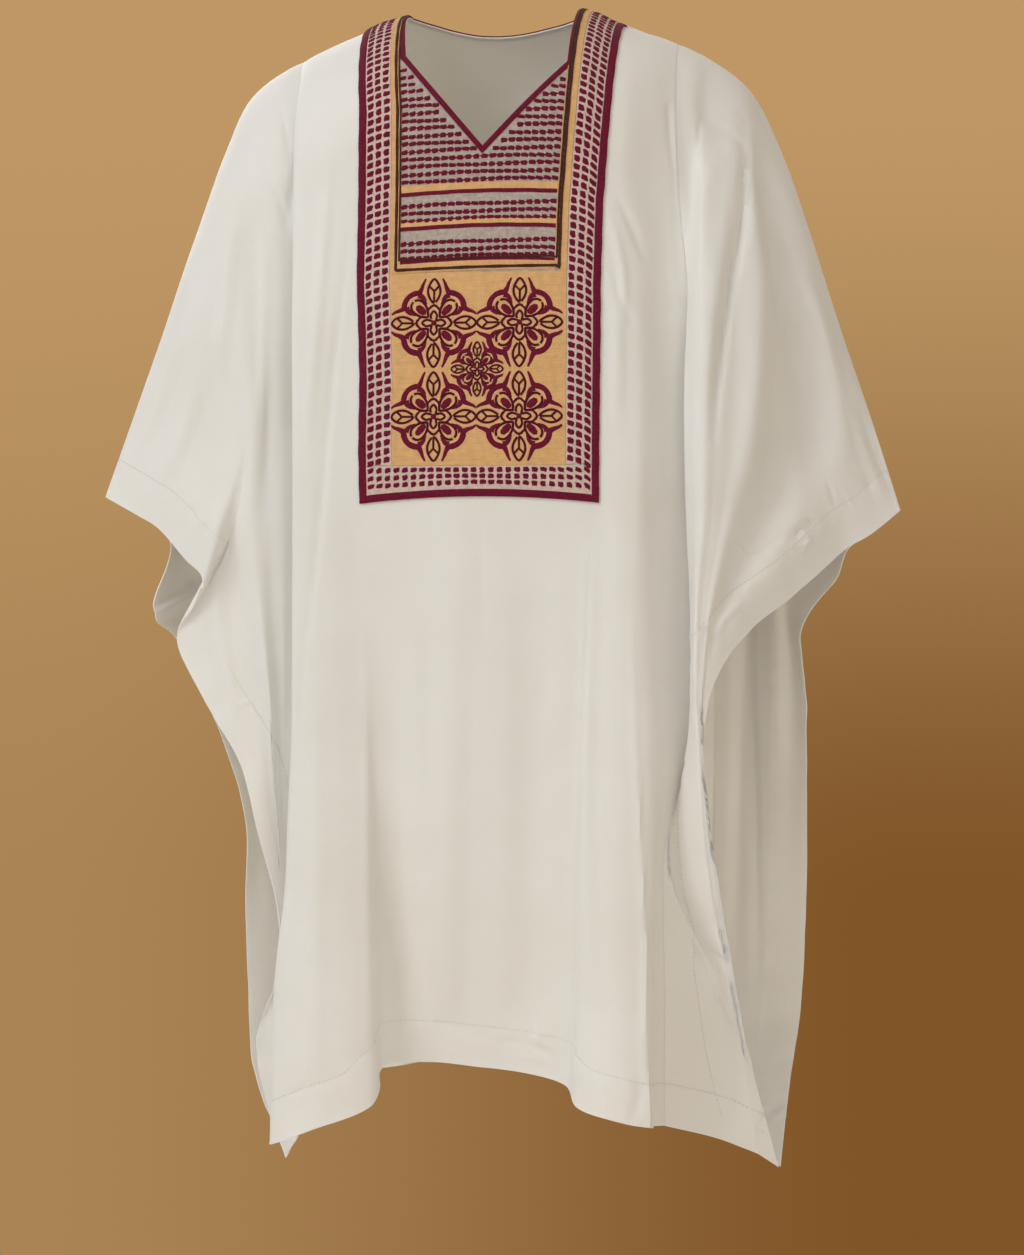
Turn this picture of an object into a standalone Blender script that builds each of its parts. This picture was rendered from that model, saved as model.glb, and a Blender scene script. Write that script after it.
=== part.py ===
"""Agbada: a wide worn robe with an embroidered chest panel.

The cloth hangs from the shoulders as thin hollow walls. Every wall is a grid of points
worked out from guides, which are short tables of sections from the shoulder to the hem.
X runs to the viewer's right, the front faces -Y and Z is up. The origin is the middle of
the neck at the height of the shoulders.
"""

import math

import bmesh
import bpy
from mathutils import Vector
from mathutils.bvhtree import BVHTree

# Driving dimensions, in metres
CLOTH_WALL = 0.0016
SEAM_TRIM = 0.0002
PANEL_LIFT = 0.0003
PANEL_WALL = 0.0011
TRIM_WALL = 0.0009
TRIM_GAP = 0.0003
SHOULDER_ROUND = 0.15

# Fineness of the grids: rows from shoulder to hem, and how they spread along a guide
# and along a free edge, where a higher power packs more rows near the top
ROWS_DOWN = 24
DOWN_POWER = 1.12
EDGE_POWER = 1.45
GUIDE_STEPS = 90
GUIDE_POWER = 1.8
FINE_CELLS = 12
SHARP_DEGREES = 50

# The ridge over each shoulder and arm, where the cloth folds from front to back
RIGHT_RIDGE = (
    (-0.089, 0.000, -0.004),
    (-0.135, 0.000, -0.024),
    (-0.177, 0.000, -0.041),
    (-0.223, 0.000, -0.062),
    (-0.245, 0.000, -0.075),
    (-0.266, 0.000, -0.101),
    (-0.282, -0.010, -0.143),
    (-0.302, -0.020, -0.201),
    (-0.329, -0.030, -0.286),
    (-0.359, -0.040, -0.377),
    (-0.405, -0.050, -0.511),
)
LEFT_RIDGE = (
    (0.094, 0.000, 0.000),
    (0.133, 0.000, -0.020),
    (0.180, 0.000, -0.035),
    (0.224, 0.000, -0.055),
    (0.248, 0.000, -0.070),
    (0.268, 0.000, -0.089),
    (0.290, 0.000, -0.127),
    (0.303, -0.010, -0.159),
    (0.319, -0.015, -0.199),
    (0.334, -0.020, -0.250),
    (0.362, -0.030, -0.338),
    (0.393, -0.040, -0.430),
    (0.424, -0.050, -0.528),
)

# Neck outline on the front, as x and height
NECK_RIGHT = (-0.089, 0.010)
NECK_CORNER_RIGHT = (-0.075, -0.068)
NECK_TIP = (0.007, -0.163)
NECK_CORNER_LEFT = (0.090, -0.077)
NECK_LEFT = (0.094, 0.010)
NECK_BACK_REACH = 0.060
NECK_BACK_STEPS = 10
NECK_MIDDLE = (0.0, -0.03)

# Heights and depth past which an outline only has to clear the cloth
ABOVE = 0.05
AHEAD = -0.02
FAR = 2.0

# Guides of the front body, from the right seam to the left one: name, the x at the
# shoulder, then x and y at each section height, and last the hem's height, x and y
FRONT_HEIGHTS = (-0.20, -0.42, -0.72, -0.89, -1.02)
FRONT_GUIDES = (
    ("seam_right", -0.200, (-0.184, -0.172, -0.169, -0.174, -0.184),
     (-0.100, -0.116, -0.122, -0.128, -0.133), (-1.160, -0.184, -0.140)),
    ("under_right", -0.195, (-0.188, -0.181, -0.179, -0.184, -0.195),
     (-0.112, -0.136, -0.145, -0.152, -0.158), (-1.163, -0.197, -0.164)),
    ("crest_right", -0.190, (-0.191, -0.187, -0.185, -0.189, -0.201),
     (-0.124, -0.154, -0.166, -0.177, -0.184), (-1.166, -0.203, -0.190)),
    ("column_right", -0.165, (-0.160, -0.154, -0.151, -0.152, -0.156),
     (-0.137, -0.161, -0.177, -0.193, -0.206), (-1.147, -0.156, -0.217)),
    ("step_right", -0.134, (-0.127, -0.122, -0.114, -0.108, -0.102),
     (-0.143, -0.163, -0.173, -0.184, -0.194), (-1.123, -0.097, -0.203)),
    ("recess_right", -0.108, (-0.104, -0.104, -0.100, -0.096, -0.092),
     (-0.147, -0.166, -0.170, -0.166, -0.160), (-1.090, -0.092, -0.157)),
    ("mid_right", -0.052, (-0.051, -0.051, -0.049, -0.047, -0.045),
     (-0.150, -0.169, -0.171, -0.165, -0.157), (-1.086, -0.043, -0.150)),
    ("centre", 0.002, (0.002, 0.002, 0.002, 0.003, 0.003),
     (-0.151, -0.170, -0.172, -0.165, -0.157), (-1.090, 0.003, -0.150)),
    ("mid_left", 0.055, (0.054, 0.054, 0.052, 0.050, 0.049),
     (-0.150, -0.169, -0.171, -0.165, -0.158), (-1.095, 0.048, -0.151)),
    ("recess_left", 0.108, (0.106, 0.106, 0.102, 0.099, 0.096),
     (-0.146, -0.165, -0.169, -0.168, -0.164), (-1.106, 0.093, -0.164)),
    ("step_left", 0.130, (0.125, 0.124, 0.118, 0.114, 0.110),
     (-0.142, -0.162, -0.172, -0.181, -0.189), (-1.123, 0.107, -0.195)),
    ("column_left", 0.155, (0.148, 0.150, 0.150, 0.149, 0.147),
     (-0.137, -0.161, -0.178, -0.191, -0.203), (-1.133, 0.145, -0.216)),
    ("crest_left", 0.175, (0.167, 0.173, 0.178, 0.179, 0.179),
     (-0.126, -0.154, -0.171, -0.183, -0.193), (-1.141, 0.179, -0.203)),
    ("under_left", 0.186, (0.186, 0.197, 0.197, 0.182, 0.182),
     (-0.108, -0.126, -0.138, -0.160, -0.168), (-1.143, 0.181, -0.176)),
    ("seam_left", 0.195, (0.203, 0.223, 0.225, 0.188, 0.190),
     (-0.098, -0.112, -0.122, -0.142, -0.150), (-1.146, 0.190, -0.150)),
)
FRONT_CELLS = (1, 1, 2, 2, 1, 3, 3, 3, 3, 1, 2, 2, 1, 1)

# Guides of the back body in the same form
BACK_HEIGHTS = (-0.20, -0.42, -0.72, -0.89, -1.02)
BACK_GUIDES = (
    ("seam_right", -0.200, (-0.198, -0.196, -0.192, -0.190, -0.189),
     (0.092, 0.104, 0.112, 0.116, 0.118), (-1.146, -0.188, 0.120)),
    ("crest_right", -0.184, (-0.178, -0.176, -0.176, -0.180, -0.184),
     (0.112, 0.136, 0.152, 0.164, 0.172), (-1.142, -0.188, 0.180)),
    ("trough_right", -0.130, (-0.126, -0.122, -0.120, -0.120, -0.120),
     (0.128, 0.144, 0.146, 0.146, 0.146), (-1.128, -0.120, 0.147)),
    ("ridge_right", -0.080, (-0.074, -0.070, -0.066, -0.064, -0.062),
     (0.132, 0.151, 0.166, 0.178, 0.187), (-1.120, -0.060, 0.193)),
    ("trough_mid", -0.020, (-0.014, -0.008, 0.000, 0.004, 0.006),
     (0.133, 0.148, 0.152, 0.154, 0.155), (-1.112, 0.008, 0.156)),
    ("ridge_left", 0.050, (0.054, 0.060, 0.066, 0.070, 0.072),
     (0.132, 0.151, 0.168, 0.180, 0.190), (-1.120, 0.074, 0.196)),
    ("trough_left", 0.115, (0.118, 0.120, 0.124, 0.126, 0.128),
     (0.126, 0.143, 0.148, 0.150, 0.150), (-1.130, 0.128, 0.150)),
    ("crest_left", 0.176, (0.176, 0.178, 0.180, 0.182, 0.184),
     (0.110, 0.136, 0.154, 0.164, 0.172), (-1.142, 0.186, 0.180)),
    ("seam_left", 0.195, (0.197, 0.197, 0.194, 0.191, 0.189),
     (0.090, 0.104, 0.112, 0.116, 0.118), (-1.148, 0.188, 0.120)),
)
BACK_CELLS = (2, 3, 3, 3, 3, 3, 3, 2)

# Guides of each sleeve near its seam, front and back, in the same form
RIGHT_TUCK_FRONT = (
    "tuck", -0.216, (-0.212, -0.206, -0.203, -0.203, -0.200),
    (-0.092, -0.100, -0.104, -0.104, -0.098), (-1.172, -0.192, -0.096))
RIGHT_TUCK_BACK = (
    "tuck", -0.216, (-0.222, -0.224, -0.222, -0.220, -0.216),
    (0.098, 0.120, 0.132, 0.136, 0.132), (-1.158, -0.208, 0.100))
LEFT_TUCK_FRONT = (
    "tuck", 0.214, (0.207, 0.214, 0.216, 0.198, 0.243),
    (-0.114, -0.136, -0.152, -0.138, -0.112), (-1.168, 0.243, -0.088))
LEFT_TUCK_BACK = (
    "tuck", 0.214, (0.222, 0.224, 0.222, 0.220, 0.216),
    (0.098, 0.120, 0.132, 0.136, 0.132), (-1.160, 0.210, 0.100))

# The crest of the left sleeve's front fold, as height, x and y below the ridge
LEFT_CREST = (
    (-0.200, 0.214, -0.132),
    (-0.304, 0.212, -0.148),
    (-0.421, 0.216, -0.162),
    (-0.521, 0.219, -0.172),
    (-0.621, 0.218, -0.179),
    (-0.698, 0.221, -0.184),
    (-0.756, 0.225, -0.184),
    (-0.830, 0.228, -0.176),
    (-0.909, 0.236, -0.164),
    (-0.970, 0.247, -0.148),
    (-1.062, 0.264, -0.116),
    (-1.184, 0.280, -0.074),
)
LEFT_CREST_SHOULDER = 0.226

# Share across the left sleeve's back where its own inner fold stands, and its rows
BACK_CREST_SHARE = 0.04
BACK_CREST_ROWS = 40

# Free front and back edges of the sleeves below the cuff's tip, as x, y and height
RIGHT_EDGE_FRONT = (
    (-0.405, -0.050, -0.511),
    (-0.366, -0.070, -0.531),
    (-0.341, -0.082, -0.545),
    (-0.308, -0.098, -0.579),
    (-0.289, -0.106, -0.597),
    (-0.299, -0.098, -0.625),
    (-0.322, -0.080, -0.659),
    (-0.290, -0.092, -0.723),
    (-0.249, -0.108, -0.789),
    (-0.230, -0.118, -0.855),
    (-0.207, -0.118, -0.946),
    (-0.214, -0.104, -1.010),
    (-0.240, -0.070, -1.080),
    (-0.228, -0.060, -1.150),
    (-0.210, -0.060, -1.199),
)
RIGHT_EDGE_BACK = (
    (-0.405, -0.050, -0.511),
    (-0.376, -0.020, -0.540),
    (-0.349, 0.000, -0.571),
    (-0.365, 0.000, -0.635),
    (-0.345, 0.020, -0.658),
    (-0.310, 0.055, -0.745),
    (-0.281, 0.080, -0.857),
    (-0.282, 0.086, -0.944),
    (-0.276, 0.070, -1.030),
    (-0.260, 0.020, -1.117),
    (-0.211, -0.0545, -1.199),
)
LEFT_EDGE_FRONT = (
    (0.424, -0.050, -0.528),
    (0.393, -0.070, -0.554),
    (0.371, -0.080, -0.567),
    (0.324, -0.115, -0.610),
    (0.273, -0.150, -0.653),
    (0.244, -0.172, -0.695),
    (0.233, -0.180, -0.738),
    (0.230, -0.180, -0.790),
    (0.240, -0.170, -0.869),
    (0.254, -0.148, -0.965),
    (0.270, -0.118, -1.063),
    (0.284, -0.090, -1.130),
    (0.300, -0.060, -1.199),
)
LEFT_EDGE_BACK = (
    (0.424, -0.050, -0.528),
    (0.398, -0.022, -0.548),
    (0.370, 0.000, -0.566),
    (0.356, 0.030, -0.598),
    (0.321, 0.060, -0.645),
    (0.323, 0.080, -0.725),
    (0.324, 0.100, -0.886),
    (0.322, 0.100, -0.971),
    (0.318, 0.080, -1.054),
    (0.309, 0.020, -1.121),
    (0.301, -0.0545, -1.199),
)
SLEEVE_SHARES = (0.10, 0.24, 0.42, 0.62, 0.82)
SLEEVE_CELLS_RIGHT = (2, 1, 2, 2, 2, 2, 2)
SLEEVE_CELLS_LEFT = (1, 2, 1, 2, 2, 2, 2, 2)

# Broad soft folds of the sleeves: share across and down at the start and at the end,
# half width as a share across, and depth, where a minus sign is a trough
SLEEVE_FOLD_COLUMNS = ("from_across", "from_down", "to_across", "to_down", "half", "depth")
RIGHT_FOLDS_FRONT = (
    (0.55, 0.10, 0.50, 0.62, 0.16, -0.010),
    (0.30, 0.12, 0.30, 0.80, 0.14, 0.010),
    (0.78, 0.12, 0.72, 0.50, 0.14, 0.008),
)
LEFT_FOLDS_FRONT = (
    (0.62, 0.06, 0.60, 0.50, 0.15, -0.012),
    (0.36, 0.06, 0.34, 0.60, 0.12, 0.010),
    (0.84, 0.10, 0.80, 0.45, 0.12, 0.008),
)
FOLDS_BACK = (
    (0.30, 0.12, 0.28, 0.90, 0.14, 0.012),
    (0.55, 0.10, 0.55, 0.80, 0.14, -0.012),
    (0.80, 0.12, 0.78, 0.60, 0.13, 0.008),
)

# Chest panel: the outline's x at three heights, and the heights and places of its pieces
PANEL_HEIGHTS = (0.02, -0.15, -0.5235)
PANEL_RIGHT_X = (-0.1330, -0.1168, -0.1137)
PANEL_LEFT_X = (0.1410, 0.1334, 0.1256)
BINDING_WIDTH = 0.0070
BORDER_WIDTH = 0.0260
BOTTOM_BORDER_HEIGHT = 0.0308
BRAID_INSET_RIGHT = 0.0020
BRAID_INSET_LEFT = 0.0060
BRAID_WIDTH = 0.0115
FRAME_BOTTOM = -0.2914
BRAID_BOTTOM_WIDTH = 0.0050
CROSS_BANDS = (("cross_band_top", -0.2087, 0.0055), ("cross_band_middle", -0.2446, 0.0050),
               ("cross_band_lower", -0.2783, 0.0050))
NECK_BINDING_WIDTH = 0.0055

WHITE = (0.83, 0.82, 0.79)
BURGUNDY = (0.17, 0.008, 0.032)
TAN = (0.74, 0.45, 0.19)
DOT_GROUND = (0.74, 0.60, 0.55)
BROWN = (0.08, 0.022, 0.018)
CLOTH_ROUGHNESS = 0.55
PANEL_ROUGHNESS = 0.85


def clear_scene():
    for item in list(bpy.data.objects):
        bpy.data.objects.remove(item, do_unlink=True)


def cloth_material(name, colour, roughness):
    material = bpy.data.materials.new(name)
    material.use_nodes = True
    shader = material.node_tree.nodes["Principled BSDF"]
    shader.inputs["Base Color"].default_value = (*colour, 1.0)
    shader.inputs["Roughness"].default_value = roughness
    shader.inputs["Metallic"].default_value = 0.0
    return material


def smooth_value(keys, values, key):
    """Value at key on a curve through the rows that never overshoots them."""
    if keys[0] > keys[-1]:
        keys = keys[::-1]
        values = values[::-1]
    if key <= keys[0]:
        return values[0]
    if key >= keys[-1]:
        return values[-1]
    slopes = [(values[i + 1] - values[i]) / (keys[i + 1] - keys[i]) for i in range(len(keys) - 1)]
    tangents = [slopes[0]]
    for before, after in zip(slopes, slopes[1:]):
        tangents.append(0.0 if before * after <= 0 else 2 * before * after / (before + after))
    tangents.append(slopes[-1])
    i = max(n for n in range(len(keys) - 1) if keys[n] <= key)
    step = keys[i + 1] - keys[i]
    t = (key - keys[i]) / step
    return (
        (2 * t**3 - 3 * t**2 + 1) * values[i]
        + (t**3 - 2 * t**2 + t) * step * tangents[i]
        + (3 * t**2 - 2 * t**3) * values[i + 1]
        + (t**3 - t**2) * step * tangents[i + 1]
    )


def spline(points, cells):
    """Catmull-Rom curve through the points, with this many cells in each span."""
    points = [Vector(p) for p in points]
    ends = [2 * points[0] - points[1], *points, 2 * points[-1] - points[-2]]
    knots = [0.0]
    for a, b in zip(ends, ends[1:]):
        knots.append(knots[-1] + max((b - a).length, 1e-6) ** 0.5)
    result = [points[0]]
    for span, count in enumerate(cells):
        p = ends[span:span + 4]
        k = knots[span:span + 4]
        for step in range(1, count + 1):
            t = k[1] + (k[2] - k[1]) * step / count
            a = [p[i] * ((k[i + 1] - t) / (k[i + 1] - k[i])) + p[i + 1] * ((t - k[i]) / (k[i + 1] - k[i]))
                 for i in range(3)]
            b = [a[i] * ((k[i + 2] - t) / (k[i + 2] - k[i])) + a[i + 1] * ((t - k[i]) / (k[i + 2] - k[i]))
                 for i in range(2)]
            result.append(b[0] * ((k[2] - t) / (k[2] - k[1])) + b[1] * ((t - k[1]) / (k[2] - k[1])))
    return result


class Curve:
    """A dense line of points that can be read at any share of its length."""

    def __init__(self, points):
        self.points = [Vector(p) for p in points]
        self.lengths = [0.0]
        for a, b in zip(self.points, self.points[1:]):
            self.lengths.append(self.lengths[-1] + (b - a).length)

    def at(self, share):
        target = min(max(share, 0.0), 1.0) * self.lengths[-1]
        for i in range(len(self.points) - 1):
            if self.lengths[i + 1] >= target:
                break
        step = self.lengths[i + 1] - self.lengths[i]
        return self.points[i].lerp(self.points[i + 1], (target - self.lengths[i]) / step)

    def at_x(self, x):
        """Point where the line passes this x."""
        for a, b in zip(self.points, self.points[1:]):
            if min(a.x, b.x) <= x <= max(a.x, b.x):
                return a.lerp(b, (x - a.x) / (b.x - a.x))
        return min((self.points[0], self.points[-1]), key=lambda p: abs(p.x - x))

    def share_at_x(self, x):
        point = self.at_x(x)
        nearest = min(range(len(self.points)), key=lambda i: (self.points[i] - point).length)
        return self.lengths[nearest] / self.lengths[-1]


class SlowCurve:
    """A curve read so that its first stretch takes more of the rows than its last one."""

    def __init__(self, curve):
        self.curve = curve

    def at(self, share):
        return self.curve.at(share**EDGE_POWER)


def fine(points):
    return Curve(spline(points, [FINE_CELLS] * (len(points) - 1)))


RIDGES = {"right": fine(RIGHT_RIDGE), "left": fine(LEFT_RIDGE)}


def ridge_point(x):
    """Top of the garment at x: the shoulder ridges, joined straight across the neck."""
    if x <= NECK_RIGHT[0]:
        return RIDGES["right"].at_x(x)
    if x >= NECK_LEFT[0]:
        return RIDGES["left"].at_x(x)
    start = Vector(RIGHT_RIDGE[0])
    end = Vector(LEFT_RIDGE[0])
    return start.lerp(end, (x - start.x) / (end.x - start.x))


def guide(top, heights, xs, ys):
    """One guide from its top over the rounded shoulder and down through its sections."""
    keys = (top.z, *heights)
    points = []
    for step in range(GUIDE_STEPS + 1):
        share = step / GUIDE_STEPS
        z = top.z + (heights[-1] - top.z) * share**GUIDE_POWER
        drop = min((top.z - z) / SHOULDER_ROUND, 1.0)
        over = math.sqrt(1 - (1 - drop) ** 2)
        x = smooth_value(keys, (top.x, *xs), z)
        y = smooth_value(heights, ys, z)
        points.append(Vector((x, top.y + (y - top.y) * over, z)))
    return Curve(points)


def row_guide(row, heights):
    """The guide that one row of a guide table describes."""
    _, shoulder_x, xs, ys, hem = row
    top = ridge_point(shoulder_x)
    return guide(top, (*heights, hem[0]), (*xs, hem[1]), (*ys, hem[2]))


def crest_guide():
    """The crest of the left sleeve's front fold."""
    heights, xs, ys = zip(*LEFT_CREST)
    return guide(ridge_point(LEFT_CREST_SHOULDER), heights, xs, ys)


def down_shares(rows):
    return [(row / rows) ** DOWN_POWER for row in range(rows + 1)]


def loft(guides, cells, shares):
    """Rows of points across the guides."""
    return [spline([g.at(share) for g in guides], cells) for share in shares]


def front_grid():
    guides = [row_guide(row, FRONT_HEIGHTS) for row in FRONT_GUIDES]
    return loft(guides, FRONT_CELLS, down_shares(ROWS_DOWN))


def back_grid():
    guides = [row_guide(row, BACK_HEIGHTS) for row in BACK_GUIDES]
    return loft(guides, BACK_CELLS, down_shares(ROWS_DOWN))


def between(inner, outer, ridge, hem, share, shares):
    """Guide between the inner and outer guides that starts on the ridge and ends on the hem."""
    ridge_start = ridge.share_at_x(inner.points[0].x)
    ridge_bow = ridge.at(ridge_start + (1 - ridge_start) * share) - inner.at(0).lerp(outer.at(0), share)
    hem_bow = hem.at(share) - inner.at(1).lerp(outer.at(1), share)
    points = []
    for down in shares:
        straight = inner.at(down).lerp(outer.at(down), share)
        points.append(straight + ridge_bow * (1 - down) ** 2 + hem_bow * down**2)
    return points


def fold_depth(folds, across, down):
    """Sum of the soft folds at this place, with each fading in and out along its length."""
    total = 0.0
    for row in folds:
        fold = dict(zip(SLEEVE_FOLD_COLUMNS, row))
        along = (down - fold["from_down"]) / (fold["to_down"] - fold["from_down"])
        if not 0 < along < 1:
            continue
        middle = fold["from_across"] + (fold["to_across"] - fold["from_across"]) * along
        offset = (across - middle) / fold["half"]
        if abs(offset) < 1:
            total += fold["depth"] * math.cos(offset * math.pi / 2) ** 2 * math.sin(math.pi * along)
    return total


def sleeve_side(near_guides, edge, side, cells, folds, facing):
    """Rows of a sleeve's front or back, from the ridge to the hem; facing is -1 in front, 1 behind."""
    shares = down_shares(ROWS_DOWN)
    edge_curve = SlowCurve(fine(edge))
    inner = near_guides[-1]
    hem = straight_hem(inner, edge)
    middles = [between(inner, edge_curve, RIDGES[side], hem, share, shares) for share in SLEEVE_SHARES]
    rows = []
    for index, share in enumerate(shares):
        knots = [g.at(share) for g in near_guides]
        for across, middle in zip(SLEEVE_SHARES, middles):
            bulge = fold_depth(folds, across, share)
            knots.append(middle[index] + Vector((0, facing * bulge, 0)))
        knots.append(edge_curve.at(share))
        rows.append(spline(knots, cells))
    return rows


def straight_hem(inner, edge):
    return Curve([inner.at(1), edge[-1]])


def back_crest():
    """Guide just inside the left sleeve's back, which gives that side as many guides as the front."""
    tuck = row_guide(LEFT_TUCK_BACK, BACK_HEIGHTS)
    shares = [row / BACK_CREST_ROWS for row in range(BACK_CREST_ROWS + 1)]
    hem = straight_hem(tuck, LEFT_EDGE_BACK)
    return Curve(between(tuck, fine(LEFT_EDGE_BACK), RIDGES["left"], hem, BACK_CREST_SHARE, shares))


def sleeve_grid(side):
    """Rows of one sleeve from the back hem, over the ridge, to the front hem."""
    seam = 0 if side == "right" else -1
    near_front = [row_guide(FRONT_GUIDES[seam], FRONT_HEIGHTS)]
    near_back = [row_guide(BACK_GUIDES[seam], BACK_HEIGHTS)]
    if side == "right":
        near_front.append(row_guide(RIGHT_TUCK_FRONT, FRONT_HEIGHTS))
        near_back.append(row_guide(RIGHT_TUCK_BACK, BACK_HEIGHTS))
        front = sleeve_side(near_front, RIGHT_EDGE_FRONT, side, SLEEVE_CELLS_RIGHT, RIGHT_FOLDS_FRONT, -1)
        back = sleeve_side(near_back, RIGHT_EDGE_BACK, side, SLEEVE_CELLS_RIGHT, FOLDS_BACK, 1)
    else:
        near_front += [row_guide(LEFT_TUCK_FRONT, FRONT_HEIGHTS), crest_guide()]
        near_back += [row_guide(LEFT_TUCK_BACK, BACK_HEIGHTS), back_crest()]
        front = sleeve_side(near_front, LEFT_EDGE_FRONT, side, SLEEVE_CELLS_LEFT, LEFT_FOLDS_FRONT, -1)
        back = sleeve_side(near_back, LEFT_EDGE_BACK, side, SLEEVE_CELLS_LEFT, FOLDS_BACK, 1)
    return back[:0:-1] + front


def surface_mesh(rows):
    """Open triangle mesh over the rows."""
    mesh = bmesh.new()
    verts = [[mesh.verts.new(p) for p in row] for row in rows]
    for upper, lower in zip(verts, verts[1:]):
        for i in range(len(upper) - 1):
            mesh.faces.new((upper[i], lower[i], lower[i + 1]))
            mesh.faces.new((upper[i], lower[i + 1], upper[i + 1]))
    mesh.normal_update()
    return mesh


def trim(rows, left=0.0, right=0.0, top=0.0):
    """Draws the grid's borders in by these lengths, which leaves the gaps at its seams."""
    def drawn(a, b, length):
        return a + (b - a) * (length / (b - a).length)
    if left:
        for row in rows:
            row[0] = drawn(row[0], row[1], left)
    if right:
        for row in rows:
            row[-1] = drawn(row[-1], row[-2], right)
    if top:
        rows[0] = [drawn(a, b, top) for a, b in zip(rows[0], rows[1])]
    return rows


def make_wall(name, mesh, normal_at, low, high, material):
    """Closes the open mesh into a wall from low to high along its outward normals."""
    mesh.verts.index_update()
    normals = [normal_at(v) for v in mesh.verts]
    base = [v.co.copy() for v in mesh.verts]
    faces = [[v.index for v in face.verts] for face in mesh.faces]
    border = [(e.verts[0].index, e.verts[1].index, e.link_faces[0]) for e in mesh.edges if e.is_boundary]
    wall = bmesh.new()
    outer = [wall.verts.new(p + n * high) for p, n in zip(base, normals)]
    inner = [wall.verts.new(p + n * low) for p, n in zip(base, normals)]
    for face in faces:
        wall.faces.new([outer[i] for i in face])
        wall.faces.new([inner[i] for i in reversed(face)])
    for a, b, face in border:
        order = [v.index for v in face.verts]
        if order[(order.index(a) + 1) % len(order)] != b:
            a, b = b, a
        wall.faces.new((outer[b], outer[a], inner[a]))
        wall.faces.new((outer[b], inner[a], inner[b]))
    used = {v for face in wall.faces for v in face.verts}
    for vert in [v for v in wall.verts if v not in used]:
        wall.verts.remove(vert)
    data = bpy.data.meshes.new(name)
    wall.to_mesh(data)
    wall.free()
    mesh.free()
    data.materials.append(material)
    data.shade_smooth()
    data.set_sharp_from_angle(angle=math.radians(SHARP_DEGREES))
    item = bpy.data.objects.new(name, data)
    bpy.context.scene.collection.objects.link(item)
    return item


class Surface:
    """A lofted cloth surface that pieces are cut from, with its outward normals."""

    def __init__(self, rows, outward, upright_top=False):
        self.rows = rows
        whole = surface_mesh(rows)
        whole.verts.ensure_lookup_table()
        middle = rows[len(rows) // 2][len(rows[0]) // 2]
        vertex = min(whole.verts, key=lambda v: (v.co - middle).length)
        self.flip = vertex.normal.dot(Vector(outward)) < 0
        whole.free()
        self.whole = self.mesh()
        self.tree = BVHTree.FromBMesh(self.whole)
        self.whole.faces.ensure_lookup_table()
        self.whole.verts.ensure_lookup_table()
        for vertex in self.whole.verts[:len(rows[0]) if upright_top else 0]:
            vertex.normal = Vector((vertex.normal.x, 0, vertex.normal.z)).normalized()

    def mesh(self):
        mesh = surface_mesh(self.rows)
        if self.flip:
            bmesh.ops.reverse_faces(mesh, faces=mesh.faces[:])
            mesh.normal_update()
        return mesh

    def normal_at(self, vert):
        """Outward normal at a vertex, read between the three corners of the face it lies on."""
        point, _, index, _ = self.tree.find_nearest(vert.co)
        corners = self.whole.faces[index].verts
        weights = []
        for i in range(3):
            a = corners[(i + 1) % 3].co - point
            b = corners[(i + 2) % 3].co - point
            weights.append(a.cross(b).length)
        total = sum(weights)
        return sum((c.normal * (w / total) for c, w in zip(corners, weights)), Vector()).normalized()


def cut_line(mesh, start, end, seen, reach=0.004):
    """Splits the faces along the line between two points, as seen from the front or from above."""
    place = {"front": lambda p: Vector((p[0], 0, p[1])), "above": lambda p: Vector((p[0], p[1], 0))}[seen]
    sight = {"front": Vector((0, 1, 0)), "above": Vector((0, 0, 1))}[seen]
    up = 2 if seen == "front" else 1
    a = place(start)
    b = place(end)
    normal = (b - a).cross(sight).normalized()
    low = (min(a.x, b.x) - reach, min(a[up], b[up]) - reach)
    high = (max(a.x, b.x) + reach, max(a[up], b[up]) + reach)
    near = []
    for face in mesh.faces:
        across = [v.co.x for v in face.verts]
        along = [v.co[up] for v in face.verts]
        if max(across) > low[0] and min(across) < high[0] and max(along) > low[1] and min(along) < high[1]:
            near.append(face)
    edges = {e for face in near for e in face.edges}
    verts = {v for face in near for v in face.verts}
    bmesh.ops.bisect_plane(mesh, geom=[*verts, *edges, *near], plane_co=a, plane_no=normal, dist=1e-5)


def inside(outline, x, z):
    """Whether the point lies inside the closed outline of x and height points."""
    found = False
    for (ax, az), (bx, bz) in zip(outline, outline[1:] + outline[:1]):
        if (az > z) != (bz > z) and x < ax + (bx - ax) * (z - az) / (bz - az):
            found = not found
    return found


def keep_faces(mesh, seen, wanted):
    """Deletes the faces whose middle isn't wanted, and the loose edges and points left over."""
    bmesh.ops.triangulate(mesh, faces=mesh.faces[:])
    unwanted = []
    for face in mesh.faces:
        middle = face.calc_center_median()
        if not wanted(middle.x, middle.z if seen == "front" else middle.y):
            unwanted.append(face)
    bmesh.ops.delete(mesh, geom=unwanted, context="FACES")
    mesh.normal_update()


def keep_main_body(mesh):
    """Deletes scraps that the cut has parted from the largest stretch of faces."""
    left = set(mesh.faces)
    bodies = []
    while left:
        body = [left.pop()]
        for face in body:
            for edge in face.edges:
                for other in edge.link_faces:
                    if other in left:
                        left.remove(other)
                        body.append(other)
        bodies.append(body)
    bodies.sort(key=len)
    scraps = [face for body in bodies[:-1] for face in body]
    bmesh.ops.delete(mesh, geom=scraps, context="FACES")


def everything():
    """Outline round the whole garment, seen from the front or from above."""
    return [(-FAR, -FAR), (FAR, -FAR), (FAR, FAR), (-FAR, FAR)]


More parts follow.
